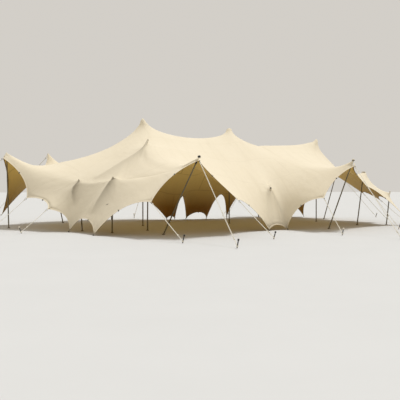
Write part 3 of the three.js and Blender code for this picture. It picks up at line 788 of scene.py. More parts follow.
def build_groups():
    """The effects that several materials share: threads, mottling, ground dirt and grown grain."""
    mask = [("Mask", "f")]
    tree, given, out = start_group("Threads", [("Cut", "v"), ("Spacing", "f")], [("Height", "f")])
    heights = []
    for place in tree.split(given["Cut"])[:2]:
        turn = tree.times(tree.math("DIVIDE", place, given["Spacing"]), 2 * math.pi)
        heights.append(tree.math("ABSOLUTE", tree.math("SINE", turn)))
    tree.set(out["Height"], tree.times(*heights))

    inputs = [("Where", "v"), ("Size", "f"), ("Contrast", "f")]
    tree, given, out = start_group("Mottling", inputs, mask)
    scale = tree.math("DIVIDE", 1.0, given["Size"])
    broad = tree.noise(given["Where"], scale, 4.0, 0.6)
    fine = tree.noise(given["Where"], tree.times(scale, 9.0), 2.0, 0.5)
    both = tree.math("ADD", tree.times(broad, 0.7), tree.times(fine, 0.3))
    centred = tree.times(tree.math("SUBTRACT", both, 0.5), given["Contrast"])
    tree.set(out["Mask"], tree.math("ADD", centred, 0.5, clamp=True))

    tree, given, out = start_group("Ground dirt", [("Where", "v"), ("Height", "f")], mask)
    ragged = tree.times(tree.noise(given["Where"], 5.0, 5.0, 0.65), 0.9)
    reach = tree.math("DIVIDE", tree.split(given["Where"])[2], given["Height"])
    left = tree.math("SUBTRACT", 1.0, tree.math("ADD", reach, tree.math("SUBTRACT", ragged, 0.45)))
    tree.set(out["Mask"], tree.math("POWER", tree.math("MAXIMUM", left, 0.0, clamp=True), 1.6))

    tree, given, out = start_group("Long grain", [("Cut", "v"), ("Width", "f")], mask)
    lines = tree.scaled(given["Cut"], (1.0, 0.05, 1.0))
    coarse = tree.noise(lines, tree.math("DIVIDE", 1.0, given["Width"]), 6.0, 0.65)
    tree.set(out["Mask"], tree.spread(coarse, 0.3, 0.7))


def build_seam_group(width):
    """Where the welded seams run on the cut: the mask of the overlaps and the mask of their edges.
    Distance to a seam is the smaller of the distances to a level and to a cross seam."""
    outputs = [("Overlap", "f"), ("Edges", "f")]
    tree, given, out = start_group("Welded seams", [("Cut", "v")], outputs)
    across_cut, up_cut, _ = tree.split(given["Cut"])

    def distance(place, spacing):
        turn = tree.math("DIVIDE", place, spacing)
        rest = tree.math("ABSOLUTE", tree.math("SUBTRACT", turn, tree.math("ROUND", turn)))
        return tree.times(rest, spacing)

    level = tree.math("SUBTRACT", up_cut, FIRST_LEVEL_SEAM)
    strip = tree.math("FLOOR", tree.math("DIVIDE", level, STRIP_WIDTH))
    aside = tree.times(tree.math("MODULO", strip, 2.0), CROSS_SEAM_EVERY / 2)
    cross = distance(tree.math("SUBTRACT", across_cut, aside), CROSS_SEAM_EVERY)
    away = tree.math("MINIMUM", distance(level, STRIP_WIDTH), cross)
    edge = width / 2
    beside = tree.math("ABSOLUTE", tree.math("SUBTRACT", away, edge))
    tree.set(out["Overlap"], tree.spread(away, edge, edge - 0.002))
    tree.set(out["Edges"], tree.spread(beside, 0.006, 0.001))


def grouped(tree, name, **inputs):
    """A shader group placed in a material; returns its first output."""
    made = tree.add("ShaderNodeGroup", node_tree=bpy.data.node_groups[name])
    for key, value in inputs.items():
        tree.set(made.inputs[key.replace("_", " ")], value)
    return made.outputs[0]


def start_material(name, **shader):
    """An empty material with one Principled shader: its tree, shader, uv and object places."""
    material = bpy.data.materials.new(name)
    material.use_nodes = True
    tree = Tree(material.node_tree)
    inputs = {name.replace("_", " "): value for name, value in shader.items()}
    principled = tree.add("ShaderNodeBsdfPrincipled", inputs)
    output = tree.add("ShaderNodeOutputMaterial")
    tree.set(output.inputs[0], principled.outputs[0])
    cut = tree.add("ShaderNodeUVMap", uv_map="cut").outputs[0]
    where = tree.add("ShaderNodeTexCoord").outputs["Object"]
    return tree, principled, cut, where


def bumped(tree, height, distance, strength=1.0, normal=None):
    """A bump node's normal from a height in metres."""
    inputs = {"Height": height, "Distance": distance, "Strength": strength}
    made = tree.add("ShaderNodeBump", inputs)
    if normal is not None:
        tree.set(made.inputs["Normal"], normal)
    return made.outputs[0]


def finished(tree, shader, base, mask, rough, height, distance, strength):
    """A material's colour, its roughness between two values by the mask, and its relief."""
    tree.set(shader.inputs["Base Color"], base)
    tree.set(shader.inputs["Roughness"], tree.spread(mask, 0, 1, *rough))
    tree.set(shader.inputs["Normal"], bumped(tree, height, distance, strength))


def rgba(colour, shade=1.0):
    """A colour setting with its alpha, shade times as bright."""
    return (colour[0] * shade, colour[1] * shade, colour[2] * shade, 1.0)


def cloth_material(name, colour, deep, dirt, spacing, soft, seams=0.0, glow=None, shade=None):
    """Elastic coated cloth: fine threads, soft unevenness, long drip streaks, mottling, welded
    seams, round pole patches and ground dirt, from a main and a deeper colour. With a glow it is
    the shaded side, with a painted glow that stands in for daylight through it, more of it high up,
    and a painted shade colour low down. Without one, a cloth with seams is the outside, with its
    mark and the painted shade beside its crests, laid in the dirt colour."""
    tree, shader, cut, where = start_material(name, Sheen_Weight=0.06, Specular_IOR_Level=0.15)
    threads = grouped(tree, "Threads", Cut=cut, Spacing=spacing)
    mottle = grouped(tree, "Mottling", Where=where, Size=1.6, Contrast=1.5)
    small = grouped(tree, "Mottling", Where=cut, Size=0.22, Contrast=1.3)
    streaks = tree.noise(tree.scaled(cut, (3.2, 0.35, 1.0)), 1.0, 4.0, 0.55)
    soil = grouped(tree, "Ground dirt", Where=where, Height=0.75)
    base = tree.mix(tree.times(mottle, 0.5), rgba(colour), rgba(deep))
    base = tree.mix(tree.spread(streaks, 0.5, 0.8, 0.0, 0.3), base, rgba(deep, 0.86))
    base = tree.mix(tree.spread(small, 0.35, 0.65, 0.0, 0.16), base, rgba(colour, 1.06))
    base = tree.laid(base, threads, 0.05, rgba(deep, 0.6))
    base = tree.laid(base, soil, 0.55, rgba(dirt))
    relief = tree.times(tree.noise(cut, 2.6, 3.0, 0.5), soft)
    if seams and not glow:
        place = {"Vector": cut, "Location": MARK, "Rotation": (0.0, 0.0, MARK_TURN),
                 "Scale": MARK_HALF}
        near = tree.add("ShaderNodeMapping", place, vector_type="TEXTURE").outputs[0]
        away = tree.add("ShaderNodeVectorMath", {0: near}, operation="LENGTH").outputs["Value"]
        ragged = tree.math("ADD", away, tree.times(tree.noise(cut, 32.0, 3.0, 0.6), 1.6))
        base = tree.mix(tree.spread(ragged, 1.2, 1.9, 0.8, 0.0), base, rgba(dirt, 0.35))
        # Painted shade beside the crests and on their tips, in the dirt colour darkened, a little
        # uneven.
        uneven = tree.spread(small, 0.2, 0.8, 0.7, 1.0)
        base = tree.laid(base, tree.painted("painted_crest_shade"), uneven, rgba(dirt, 0.42))
    if seams:
        group = bpy.data.node_groups["Welded seams"]
        welds = tree.add("ShaderNodeGroup", {0: cut}, node_tree=group).outputs
        near_pole = tree.painted("patch")
        patch = tree.spread(near_pole, 0.0, 0.004)
        rim = tree.spread(tree.math("ABSOLUTE", near_pole), 0.008, 0.002)
        double = tree.math("MAXIMUM", welds["Overlap"], patch)
        lines = tree.math("MAXIMUM", welds["Edges"], rim)
        base = tree.laid(base, double, 0.45 * seams, rgba(deep, 0.9))
        base = tree.laid(base, lines, seams, rgba(deep, 0.45))
        relief = tree.math("ADD", relief, tree.times(double, 0.0015))
    # The inside glows by emission: a painted glow that stands in for the daylight through the
    # sheet, fading out low down and weaker at seams and patches. Towards the bottom its colour
    # turns to a painted shade colour.
    if glow:
        tall = tree.split(where)[2]
        base = tree.mix(tree.spread(tall, 0.2, 2.8, 0.75, 0.0), base, rgba(shade))
        shut = tree.math("ADD", tree.times(double, 0.35), tree.times(lines, 0.3))
        through = tree.times(tree.spread(tall, 0.7, 3.0), tree.spread(mottle, 0, 1, 0.85, 1.1))
        through = tree.times(through, tree.math("SUBTRACT", 1.0, shut, clamp=True))
        daylight = tree.mix(through, rgba((0.0, 0.0, 0.0)), rgba(glow))
        tree.set(shader.inputs["Emission Color"], daylight)
        tree.set(shader.inputs["Emission Strength"], 1.0)
    tree.set(shader.inputs["Base Color"], base)
    tree.set(shader.inputs["Roughness"], tree.spread(small, 0.2, 0.8, 0.66, 0.86))
    normal = bumped(tree, relief, 1.0)
    tree.set(shader.inputs["Normal"], bumped(tree, threads, 0.0004, 0.35, normal))


def build_materials():
    """All of the tent's finishes, from the settings in the sidebar."""
    scene = bpy.context.scene
    cloth, wood, guys = scene.tent_cloth, scene.tent_poles, scene.tent_guys
    build_groups()
    build_seam_group(cloth.seam_width)
    # The inside is the same cloth as the outside, painted darker and golden: painted shade with a
    # painted glow of daylight through it. The inside band is painted darker still, as painted
    # shade, and the dirt colour also lays the painted shade beside the crests outside.
    outer, inner, dirt = cloth.outer_colour, cloth.shaded_inside_colour, cloth.dirt_and_shade_colour
    deep = [c * k for c, k in zip(outer, (0.9, 0.87, 0.8))]
    shaded_inside_deep = [c * k for c, k in zip(inner, (0.72, 0.62, 0.5))]
    knit = cloth.thread_spacing
    cloth_material("cloth_outside", outer, deep, dirt, knit, 0.02, seams=0.13)
    cloth_material("cloth_inside_painted_light", inner, shaded_inside_deep, dirt, knit, 0.02, seams=0.6,
                   glow=cloth.glow_colour, shade=cloth.painted_low_shade_colour)
    cloth_material("cloth_band", [min(1.0, c * 1.05) for c in outer], deep, dirt, knit, 0.004)
    cloth_material("cloth_band_inside_painted_shade", [c * 0.6 for c in inner], shaded_inside_deep, dirt, knit, 0.004)

    tree, shader, cut, where = start_material("webbing", Sheen_Weight=0.2)
    ribs = grouped(tree, "Threads", Cut=cut, Spacing=0.004)
    worn = grouped(tree, "Mottling", Where=where, Size=0.08, Contrast=1.6)
    base = tree.mix(worn, rgba(cloth.webbing_colour), rgba(cloth.webbing_colour, 1.9))
    finished(tree, shader, base, worn, (0.7, 0.9), ribs, 0.0012, 0.8)

    tree, shader, cut, where = start_material("timber")
    grain = grouped(tree, "Long grain", Cut=cut, Width=0.012)
    blotch = grouped(tree, "Mottling", Where=where, Size=0.35, Contrast=1.7)
    soil = grouped(tree, "Ground dirt", Where=where, Height=0.5)
    base = tree.mix(grain, rgba(wood.timber_colour, 0.55), rgba(wood.timber_colour, 1.25))
    base = tree.laid(base, blotch, 0.45, rgba(wood.timber_colour, 0.75))
    cracks = tree.spread(grouped(tree, "Long grain", Cut=cut, Width=0.004), 0.0, 0.12, 1.0, 0.0)
    base = tree.laid(base, cracks, 0.8, rgba(wood.timber_colour, 0.2))
    base = tree.laid(base, soil, 0.5, rgba(dirt, 0.8))
    finished(tree, shader, base, grain, (0.82, 0.6), grain, 0.0015, 0.7)

    moulded = (("rubber", wood.rubber_colour, 0.55), ("pale_cap", wood.cap_colour, 0.45))
    for name, colour, rough in moulded:
        tree, shader, _, where = start_material(name, Specular_IOR_Level=0.4)
        scuff = grouped(tree, "Mottling", Where=where, Size=0.05, Contrast=2.0)
        soil = grouped(tree, "Ground dirt", Where=where, Height=0.2)
        base = tree.laid(rgba(colour), scuff, 0.4, rgba(colour, 0.6))
        base = tree.laid(base, soil, 0.6, rgba(dirt))
        finished(tree, shader, base, scuff, (rough, rough + 0.3), scuff, 0.0008, 0.5)

    tree, shader, cut, where = start_material("rope", Sheen_Weight=0.25)
    fibres = tree.noise(tree.scaled(cut, (40.0, 9.0, 1.0)), 12.0, 4.0, 0.6)
    worn = grouped(tree, "Mottling", Where=where, Size=0.3, Contrast=1.6)
    soil = grouped(tree, "Ground dirt", Where=where, Height=0.35)
    base = tree.mix(fibres, rgba(guys.rope_colour, 0.78), rgba(guys.rope_colour, 1.08))
    base = tree.laid(base, worn, 0.3, rgba(guys.rope_colour, 0.7))
    base = tree.laid(base, soil, 0.5, rgba(dirt))
    finished(tree, shader, base, worn, (0.8, 0.95), fibres, 0.001, 0.6)

    tree, shader, _, where = start_material("steel", Metallic=1.0)
    patches = grouped(tree, "Mottling", Where=where, Size=0.06, Contrast=2.4)
    rust = tree.spread(patches, 1.0 - guys.rust_share, 1.0)
    pits = tree.noise(where, 300.0, 4.0, 0.6)
    base = tree.mix(pits, rgba(guys.steel_colour, 0.7), rgba(guys.steel_colour, 1.3))
    base = tree.mix(rust, base, rgba(guys.rust_colour))
    tree.set(shader.inputs["Metallic"], tree.spread(rust, 0, 1, 0.85, 0.1))
    finished(tree, shader, base, rust, (0.42, 0.9), pits, 0.0006, 0.7)

    tree, shader, _, where = start_material("stage_floor")
    floor = scene.tent_stage.floor_colour
    base = tree.mix(tree.noise(where, 0.6, 4.0, 0.6), rgba(floor, 0.97), rgba(floor, 1.02))
    tree.set(shader.inputs["Base Color"], base)
    tree.set(shader.inputs["Roughness"], 0.9)


def hem_loop():
    """The hem as one closed run of grid indices, counter-clockwise seen from above."""
    last_column, last_row = ACROSS - 1, DEEP - 1
    i = np.concatenate([np.arange(last_column), np.full(last_row, last_column),
                        np.arange(last_column, 0, -1), np.zeros(last_row, int)])
    j = np.concatenate([np.zeros(last_column, int), np.arange(last_row),
                        np.full(last_column, last_row), np.arange(last_row, 0, -1)])
    return i, j


def hem_frames():
    """Places along the hem, the unit direction into the sheet and the one out of its face, at each
    grid point: the way to the next point inside, less its part along the hem, and the cross product
    of the two."""
    points, _ = formed()
    i, j = hem_loop()
    path = points[j, i]
    along = unit(np.roll(path, -1, 0) - np.roll(path, 1, 0))
    inward = points[np.clip(j, 1, DEEP - 2), np.clip(i, 1, ACROSS - 2)] - path
    inward = unit(inward - (inward * along).sum(-1, keepdims=True) * along)
    return path, inward, unit(np.cross(along, inward))


class TENT_OT_canopy(bpy.types.Operator):
    """Makes the one elastic sheet with its two faces and the rim between them"""

    bl_idname = "tent.canopy"
    bl_label = "Canopy sheet"

    def execute(self, context):
        points, normals = formed()
        half = context.scene.tent_cloth.thickness / 2
        s, t = cut_grid()
        uv = np.stack([s, t], -1)
        outside = surface(points + normals * half, uv)
        places, blocks, _ = surface(points - normals * half, uv)
        turn = [0, 3, 2, 1]
        inside = (places, [(faces[:, turn], face_uv[:, turn]) for faces, face_uv in blocks], 1)
        i, j = hem_loop()
        here = j * ACROSS + i
        after = np.roll(here, -1)
        count = ACROSS * DEEP
        rim = np.stack([here + count, after + count, after, here], -1)
        rim_uv = np.stack([uv.reshape(-1, 2)[k] for k in (here, after, after, here)], 1)
        parts = [outside, inside, (np.zeros((0, 3)), [(rim - 2 * count, rim_uv)], 0)]
        nodes = sorted(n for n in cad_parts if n.startswith("canopy_"))
        faces = ["cloth_outside", "cloth_inside_painted_light"]
        piece = make_piece("canopy", parts, faces, nodes, smooth=0)
        middles = np.array([grid_place(name) for name in POLES])
        edges = np.array([pole[4] + PATCH_EDGE for pole in POLES.values()])
        away = np.linalg.norm(uv.reshape(-1, 1, 2) - middles, axis=-1)
        inside_patch = (edges - away).max(1)
        # Each point carries how far inside a pole's patch it lies, and the painted shade beside the
        # crests and on their tips.
        for name, values in (("patch", inside_patch), ("painted_crest_shade", painted_crest_shade(s, t).ravel())):
            layer = piece.data.attributes.new(name, "FLOAT", "POINT")
            layer.data.foreach_set("value", np.tile(values, 2).astype(np.float32))
        return {"FINISHED"}


class TENT_OT_hem(bpy.types.Operator):
    """Makes the hem band folded over the sheet's edge, with its cord inside"""

    bl_idname = "tent.hem"
    bl_label = "Hem band"

    def execute(self, context):
        settings = context.scene.tent_cloth
        path, inward, up = hem_frames()
        half = settings.thickness / 2 + BAND_THICKNESS
        cord = settings.cord_diameter / 2
        # The band is flat inside and runs round the cord at the hem.
        over = [(1.4 * cord, half), (0.5 * cord, 0.9 * cord), (-0.4 * cord, cord)]
        under = [(a, -b) for a, b in reversed(over)]
        band = [(settings.hem_width, -half), (settings.hem_width, half)]
        section = band + over + [(-cord, 0.0)] + under
        # The band's under side takes the inside band finish, painted darker as painted shade.
        sides = np.tile([0, 0, 0, 0, 0, 1, 1, 1, 1], len(path))
        parts = [swept(path, inward, up, section, closed=True, material=sides)]
        make_piece("canopy_hem", parts, ["cloth_band", "cloth_band_inside_painted_shade"])
        return {"FINISHED"}


def hem_spot(column, row):
    """A hem tie's place, the direction out of the sheet along its surface, and the normal."""
    points, normals = formed()
    i, j = grid_index(column, row)
    inner_i = i + (column == 0) * FINE - (column == GRID_COLUMNS) * FINE
    inner_j = j + (row == 0) * FINE - (row == GRID_ROWS) * FINE
    return points[j, i], unit(points[j, i] - points[inner_j, inner_i]), normals[j, i]


def strap(start, end, up, width, thickness, material):
    """A straight flat strap from start to end, its face along up."""
    path = start + np.linspace(0, 1, 7)[:, None] * (end - start)
    along = unit(end - start)
    side = np.broadcast_to(unit(np.cross(along, up)), path.shape)
    normal = np.broadcast_to(unit(np.cross(side[0], along)), path.shape)
    return swept(path, side, normal, flat_section(width, thickness), material=material)


def ring(middle, axis, radius, thick, material):
    """A round steel ring about a level axis: a small circle carried round a larger one."""
    first = unit(np.cross(axis, UP))
    out = round_from(first, np.cross(axis, first), np.linspace(0, 2 * np.pi, 20, endpoint=False))
    path = middle + radius * out
    up = np.broadcast_to(axis, path.shape)
    return swept(path, up, out, ring_section(thick, 8), closed=True, material=material)


class TENT_OT_loops(bpy.types.Operator):
    """Makes the dark webbing loops sewn into the hem, one in the middle of each long span"""

    bl_idname = "tent.loops"
    bl_label = "Hem loops"

    def execute(self, context):
        path, inward, up = hem_frames()
        i, j = hem_loop()
        order = sorted(int(np.flatnonzero((i == column * FINE) & (j == row * FINE))[0])
                       for column, row, _, _ in HEM_POINTS.values())
        turn = np.linspace(-0.5 * np.pi, 0.5 * np.pi, 9)
        parts = []
        for start, end in zip(order, order[1:] + [order[0] + len(path)]):
            if end - start < LOOP_SPAN * FINE:
                continue
            k = ((start + end) // 2) % len(path)
            along = unit(path[(k + 1) % len(path)] - path[k - 1])
            out = -inward[k]
            loop = path[k] - out * LOOP_INSIDE
            loop = loop + round_from(out * LOOP_REACH, up[k] * LOOP_HEIGHT, turn)
            radial = round_from(out, up[k], turn)
            side = np.broadcast_to(along, loop.shape)
            parts.append(swept(loop, side, radial, flat_section(*LOOP_WEBBING)))
        make_piece("hem_loops", parts, ["webbing"])
        return {"FINISHED"}


def pole_top(name):
    """Where a pole's nose ends: as high under its pad as the nose stays clear of the cloth. Each
    point of the nose is measured against the tangent plane of the nearest point of the cloth."""
    middle = grid_place(name)
    reach = np.arange(-NOSE_SEARCH, NOSE_SEARCH + 1) * STEP / 4
    cloth, normals = on_sheet(*np.meshgrid(middle[0] + reach, middle[1] + reach))
    cloth, normals = cloth.reshape(-1, 3), normals.reshape(-1, 3)
    apex, _ = on_sheet(*middle)
    axis = unit(apex - placed(POLES[name][3]))
    around = round_from(*across(axis), np.linspace(0, 2 * np.pi, 12, endpoint=False))
    radius = bpy.context.scene.tent_poles.diameter / 2
    shape = np.array(NOSE + BELOW_NOSE)
    skin = shape[:, 1, None, None] * axis + shape[:, 0, None, None] * radius * around
    skin = skin.reshape(-1, 3)
    clear = bpy.context.scene.tent_cloth.thickness / 2 + NOSE_CLEARANCE
    for drop in np.arange(clear, MOST_DROP, DROP_STEP):
        nose = apex - axis * drop + skin
        nearest = np.linalg.norm(nose[:, None] - cloth, axis=-1).argmin(1)
        inside = ((cloth[nearest] - nose) * normals[nearest]).sum(-1)
        if inside.min() > clear / 2:
            break
    return apex - axis * drop


class TENT_OT_poles(bpy.types.Operator):
    """Makes the round timber poles with their rubber heads and foot plates"""

    bl_idname = "tent.poles"
    bl_label = "Poles"

    def execute(self, context):
        radius = context.scene.tent_poles.diameter / 2
        for order, (name, pole) in enumerate(POLES.items()):
            tip, base = pole_top(name), placed(pole[3])
            length = np.linalg.norm(tip - base)
            lowest = TIMBER_START + radius * np.linalg.norm((tip - base)[:2]) / length
            rows = max(TIMBER_ROWS[0], int(length * TIMBER_ROWS[1]))
            height = np.linspace(lowest + 0.004, length - TIMBER_IN_NOSE, rows)
            height = np.concatenate([[lowest], height])
            taper = radius * (TIMBER_FOOT - TIMBER_TAPER * height / length)
            taper[0] -= 0.003
            profile = np.stack([taper, height], -1)
            nose = np.array(NOSE) * [radius, 1.0] + [0.0, length]
            plate = FOOT_PLATE + [(radius / 2, PLATE_TOP)]
            parts = [turned(profile, base, tip, 20, 0, bump=TIMBER_SWELL, phase=order),
                     turned(nose, base, tip, 24, 1), turned(plate, base, base + UP, 28, 1)]
            make_piece(f"timber_{name}", parts, ["timber", "rubber"], [name])
        return {"FINISHED"}


class TENT_OT_caps(bpy.types.Operator):
    """Makes the caps that clamp the cloth from above on the hem poles and the right props"""

    bl_idname = "tent.caps"
    bl_label = "Pole caps"

    def execute(self, context):
        points, _ = formed()
        thick = context.scene.tent_cloth.thickness / 2
        for name, (column, row, _, _, pad, cap) in POLES.items():
            if cap is None:
                continue
            i, j = grid_index(column, row)
            apex = points[j, i] + UP * thick
            sides, finish, shape = CAPS[cap]
            if cap == "flat":
                shape = [(share * pad, height) for share, height in shape] + [FLAT_CAP_MIDDLE]
            parts = [turned(shape, apex, apex + UP, sides, 0)]
            if cap == "pale":
                parts.append(turned(CAP_BAND, apex, apex + UP, sides, 1))
            make_piece(f"cap_{name}", parts, [finish, "rubber"])
        return {"FINISHED"}


def coil(base, axis, start, radius, thick, turns):
    """Rope turns round a bar: a helix of the given radius that rises by a little more than the
    rope's diameter a turn."""
    first = unit(np.cross(axis, [0.0, 1.0, 0.2]))
    angle = np.linspace(0, 2 * np.pi * turns, TURN_POINTS * turns)
    out = round_from(first, np.cross(axis, first), angle)
    rise = start + angle[:, None] / (2 * np.pi) * thick * TURN_RISE
    path = base + axis * rise + out * radius
    side = unit(np.cross(out, np.gradient(path, axis=0)))
    return swept(path, side, out, ring_section(thick, 8))


class TENT_OT_guys(bpy.types.Operator):
    """Makes each guy: the ring at the hem, the double laid rope, its knots and the leaning stake"""

    bl_idname = "tent.guys"
    bl_label = "Guy ropes and stakes"

    def execute(self, context):
        settings = context.scene.tent_guys
        thick = settings.rope_diameter / 2
        for name, (column, row, _, stake) in HEM_POINTS.items():
            if stake is None:
                continue
            tie, out, normal = hem_spot(column, row)
            ground = placed(stake)
            lean = unit(unit((ground - tie) * LEVEL) * STAKE_LEAN + UP)
            low = ground + lean * ROPE_END_HEIGHT / lean[2]
            aim = unit(low - tie)
            side = unit(np.cross(aim, UP))
            up = np.cross(side, aim)
            start = tie + aim * ROPE_START
            length = np.linalg.norm(low - start)
            x = np.linspace(0, 1, max(ROPE_ROWS[0], int(length * ROPE_ROWS[1])))[:, None]
            # The ropes close up towards both ends.
            gap = settings.rope_gap / 2 * np.minimum(1, 4 * np.sqrt(x * (1 - x))) + thick * 0.6
            sag = -UP * ROPE_SAG * np.sin(np.pi * x)
            section = ring_section(thick, 3 * ROPE_STRANDS, ROPE_STRANDS, STRAND_DEPTH)
            twist = x[:, 0] * length / settings.lay_length * 2 * np.pi / ROPE_STRANDS
            parts = []
            for sign in (1, -1):
                path = start + aim * length * x + side * gap * sign + sag
                frames = (np.broadcast_to(side, path.shape), np.broadcast_to(up, path.shape))
                parts.append(swept(path, *frames, section, twist=twist))
            for end, toward, knot in ((start, aim, HEM_KNOT), (low, -aim, STAKE_KNOT)):
                at, wide, thin, turns = knot
                parts.append(coil(end, toward, at, thick * wide, thick * thin, turns))
            at, turns = STAKE_TURNS
            parts.append(coil(ground, lean, at, STAKE_RADIUS + thick, thick, turns))
            parts.append(ring(tie + aim * GUY_RING[0], side, *GUY_RING[1:], 1))
            for sign in (1, -1):
                ends = (tie + way * reach + normal * lift * sign
                        for way, reach, lift in zip((out, aim), STRAP_REACH, STRAP_LIFT))
                parts.append(strap(*ends, normal, *STRAP_SIZE, 2))
            finishes = ["rope", "steel", "cloth_band"]
            make_piece(f"rope_{name}", parts, finishes, [f"guy_{name}"])
            parts = [turned(STAKE_BAR, ground, ground + lean, 16, 0),
                     turned(STAKE_HEAD, ground, ground + lean, 20, 1)]
            top = "rubber" if name in DARK_STAKES else "pale_cap"
            make_piece(f"stake_{name}", parts, ["steel", top])
        return {"FINISHED"}


class TENT_OT_pegs(bpy.types.Operator):
    """Makes the pegs under the hem's ground ties, with their webbing loops"""

    bl_idname = "tent.pegs"
    bl_label = "Ground pegs"

    def execute(self, context):
        turn = np.linspace(-0.62 * np.pi, 0.62 * np.pi, 15)
        for name, (column, row, at, stake) in HEM_POINTS.items():
            if stake is not None or at[2] > PEG_TIE:
                continue
            tie, out, _ = hem_spot(column, row)
            away = unit(out * LEVEL)
            side = np.cross(UP, away)
            base = placed(at) * LEVEL + away * PEG_OUTSIDE_TIE
            radial = round_from(away, side, turn)
            path = base + UP * (PEG_TOP - PEG_LOOP_BELOW) + radial * PEG_LOOP_RADIUS
            tail = tie - out * PEG_LOOP_TAIL
            aside = side * PEG_LOOP_ASIDE
            path = np.concatenate([[tail - aside], path, [tail + aside]])
            radial = np.concatenate([[-side], radial, [side]])
            uprights = np.broadcast_to(UP, path.shape)
            webbing = swept(path, uprights, radial, flat_section(*PEG_WEBBING), material=1)
            parts = [turned(PEG, base, base + UP, 18, 0), webbing]
            make_piece(f"pin_{name}", parts, ["steel", "webbing"], [f"peg_{name}"])
        return {"FINISHED"}


class TENT_OT_declare(bpy.types.Operator):
    """Takes no step: that the canopy is one stretched sheet of its cut size, and what it rests on,
    is not declared here
    """

    bl_idname = "tent.declare"
    bl_label = "Declare the sheet"

    def execute(self, context):
        return {"FINISHED"}


def standing(name, data, side, up, back, place):
    """A lamp or camera in the scene, turned by its three axes and put at its place."""
    made = bpy.data.objects.new(name, data)
    rows = [[side[k], up[k], back[k], place[k]] for k in range(3)]
    made.matrix_world = Matrix(rows + [[0, 0, 0, 1]])
    bpy.context.scene.collection.objects.link(made)
    return made


class TENT_OT_stage(bpy.types.Operator):
    """Makes the pale floor, the soft lights and the photograph's camera"""

    bl_idname = "tent.stage"
    bl_label = "Stage"

    def execute(self, context):
        settings = context.scene.tent_stage
        x, y = np.meshgrid(*[np.linspace(-FLOOR_REACH, FLOOR_REACH, 9)] * 2)
        points = np.stack([x, y, np.full_like(x, -FLOOR_DEPTH)], -1)
        mesh = bpy.data.meshes.new("stage_floor")
        places, blocks, _ = surface(points, points[..., :2])
        mesh.from_pydata(places.tolist(), [], blocks[0][0].tolist())
        mesh.materials.append(bpy.data.materials["stage_floor"])
        floor = bpy.data.objects.new("stage_floor", mesh)
        context.scene.collection.objects.link(floor)

        world = bpy.data.worlds.new("studio")
        world.use_nodes = True
        background = world.node_tree.nodes["Background"]
        background.inputs[0].default_value = rgba(settings.sky_colour)
        background.inputs[1].default_value = settings.sky_strength
        context.scene.world = world

        lamp = bpy.data.lights.new("soft_sun", "SUN")
        lamp.energy = settings.sun_strength
        lamp.angle = settings.sun_softness
        lamp.color = settings.sun_colour
        toward = unit(np.array(settings.sun_direction))
        side = unit(np.cross(UP, toward))
        standing("soft_sun", lamp, side, np.cross(toward, side), toward, (0.0, 0.0, 0.0))

        lens = bpy.data.cameras.new("camera")
        lens.lens = settings.lens
        lens.sensor_width = 36.0
        lens.sensor_fit = "HORIZONTAL"
        lens.shift_y = SHIFT_Y
        lens.clip_end = 500.0
        look = unit(np.array([*LOOK, 0.0]))
        camera = standing("camera", lens, np.cross(look, UP), UP, -look, placed(EYE))
        context.scene.camera = camera
        context.scene.view_settings.view_transform = "Standard"
        return {"FINISHED"}


def length_setting(name, description, default):
    """A length property in metres."""
    return bpy.props.FloatProperty(name=name, description=description, default=default, min=0.0,
                                   unit="LENGTH", subtype="DISTANCE", precision=4)


def colour_setting(name, description, default):
    """A colour property."""
    return bpy.props.FloatVectorProperty(name=name, description=description, default=default,
                                         size=3, min=0.0, max=1.0, subtype="COLOR")


def number_setting(name, description, default, least=0.0, **kind):
    """A number property, with its subtype and unit where one fits."""
    return bpy.props.FloatProperty(name=name, description=description, default=default, min=least,
                                   **kind)


class TentCloth(bpy.types.PropertyGroup):
    thickness: length_setting("Thickness", "Thickness of the sheet with its coating", 0.003)
    fold_depth: length_setting("Fold depth", "Depth of the folds round ties and poles", 0.006)
    hem_width: length_setting("Hem width", "Width of the band folded over the edge", 0.055)
    cord_diameter: length_setting("Hem cord", "Diameter of the cord in the hem", 0.012)
    seam_width: length_setting("Seam width", "Width of a welded seam", 0.034)
    thread_spacing: length_setting("Thread spacing", "Distance between two threads", 0.0016)
    outer_colour: colour_setting("Outside", "Colour of the sheet outside", (0.785, 0.705, 0.55))
    # The inside colours are painted light: a darker golden copy of the cloth as painted shade, a
    # painted shade low down, and a painted glow of daylight through the sheet.
    shaded_inside_colour: colour_setting("Inside", "Colour of the sheet inside", (0.44, 0.275, 0.045))
    painted_low_shade_colour: colour_setting("Inside, low down", "Colour of the sheet inside near the ground",
                                 (0.22, 0.085, 0.013))
    glow_colour: colour_setting("Daylight through", "Colour of the daylight through the sheet",
                                (0.215, 0.155, 0.05))
    # Soil and dust low down; the same colour, darker, also lays the painted shade beside the
    # crests.
    dirt_and_shade_colour: colour_setting("Dirt", "Colour of soil and dust low down", (0.24, 0.18, 0.10))
    webbing_colour: colour_setting("Webbing", "Colour of the sewn webbing", (0.06, 0.055, 0.045))


class TentPoles(bpy.types.PropertyGroup):
    diameter: length_setting("Pole diameter", "Diameter of a timber pole in the middle", 0.05)
    timber_colour: colour_setting("Timber", "Colour of the treated timber", (0.17, 0.14, 0.075))
    rubber_colour: colour_setting("Rubber", "Colour of heads and feet", (0.03, 0.028, 0.026))
    cap_colour: colour_setting("Pale caps", "Colour of the pale caps", (0.68, 0.62, 0.50))


class TentGuys(bpy.types.PropertyGroup):
    rope_diameter: length_setting("Rope diameter", "Diameter of one rope of the pair", 0.014)
    rope_gap: length_setting("Rope gap", "Distance between the two ropes of a guy", 0.012)
    lay_length: length_setting("Lay length", "Length between two strands on one side", 0.045)
    rope_colour: colour_setting("Rope", "Colour of the rope", (0.76, 0.70, 0.55))
    steel_colour: colour_setting("Steel", "Colour of the stakes", (0.07, 0.07, 0.068))
    rust_colour: colour_setting("Rust", "Colour of rust on the stakes", (0.16, 0.06, 0.025))
    rust_share: number_setting("Rust", "How much of the steel is rusted", 0.45, max=1.0,
                               subtype="FACTOR")


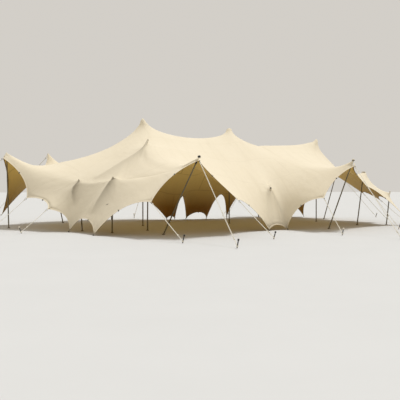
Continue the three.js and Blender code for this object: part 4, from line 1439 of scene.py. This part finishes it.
class TentStage(bpy.types.PropertyGroup):
    floor_colour: colour_setting("Floor", "Colour of the plain floor", (0.6, 0.6, 0.59))
    sky_colour: colour_setting("Light all round", "Colour of the even light", (1.0, 0.957, 0.89))
    sky_strength: number_setting("Even light", "Strength of the even light", 0.65)
    sun_colour: colour_setting("Main light", "Colour of the main light", (0.98, 0.99, 1.0))
    sun_strength: number_setting("Main light strength", "Strength of the main light", 2.2)
    sun_softness: number_setting("Softness", "Angle that the main light fills", math.radians(14),
                                 subtype="ANGLE", unit="ROTATION")
    sun_direction: bpy.props.FloatVectorProperty(
        name="Direction", description="Direction towards the main light",
        default=(0.3, 0.02, 0.95), size=3, subtype="XYZ")
    lens: number_setting("Lens", "Focal length on a 36 mm sensor", LENS_MM, least=1.0,
                         subtype="DISTANCE_CAMERA", unit="CAMERA")


class TENT_PT_sidebar(bpy.types.Panel):
    """Lists the tent's settings and the tools that make its pieces"""

    bl_label = "Stretch Tent"
    bl_idname = "TENT_PT_sidebar"
    bl_space_type = "VIEW_3D"
    bl_region_type = "UI"
    bl_category = "Stretch Tent"

    def draw(self, context):
        for title, name in GROUPS:
            box = self.layout.box()
            box.label(text=title)
            settings = getattr(context.scene, name)
            for key in settings.__annotations__:
                box.prop(settings, key)
        for operator in OPERATORS:
            self.layout.operator(operator.bl_idname)


GROUPS = (("Cloth", "tent_cloth"), ("Poles", "tent_poles"), ("Guys", "tent_guys"),
          ("Stage", "tent_stage"))
SETTINGS = (TentCloth, TentPoles, TentGuys, TentStage)
OPERATORS = (TENT_OT_canopy, TENT_OT_hem, TENT_OT_loops, TENT_OT_poles,
             TENT_OT_caps, TENT_OT_guys, TENT_OT_pegs, TENT_OT_declare, TENT_OT_stage)


def register():
    """Registers the settings, the tools and the sidebar."""
    for kind in SETTINGS + OPERATORS + (TENT_PT_sidebar,):
        bpy.utils.register_class(kind)
    for (_, name), kind in zip(GROUPS, SETTINGS):
        setattr(bpy.types.Scene, name, bpy.props.PointerProperty(type=kind))


def unregister():
    """Takes away what register added."""
    for _, name in GROUPS:
        delattr(bpy.types.Scene, name)
    for kind in reversed(SETTINGS + OPERATORS + (TENT_PT_sidebar,)):
        bpy.utils.unregister_class(kind)


def main():
    """Makes every piece in order."""
    register()
    build_materials()
    for operator in OPERATORS:
        getattr(bpy.ops.tent, operator.bl_idname.split(".")[1])()


if __name__ == "__main__":
    main()
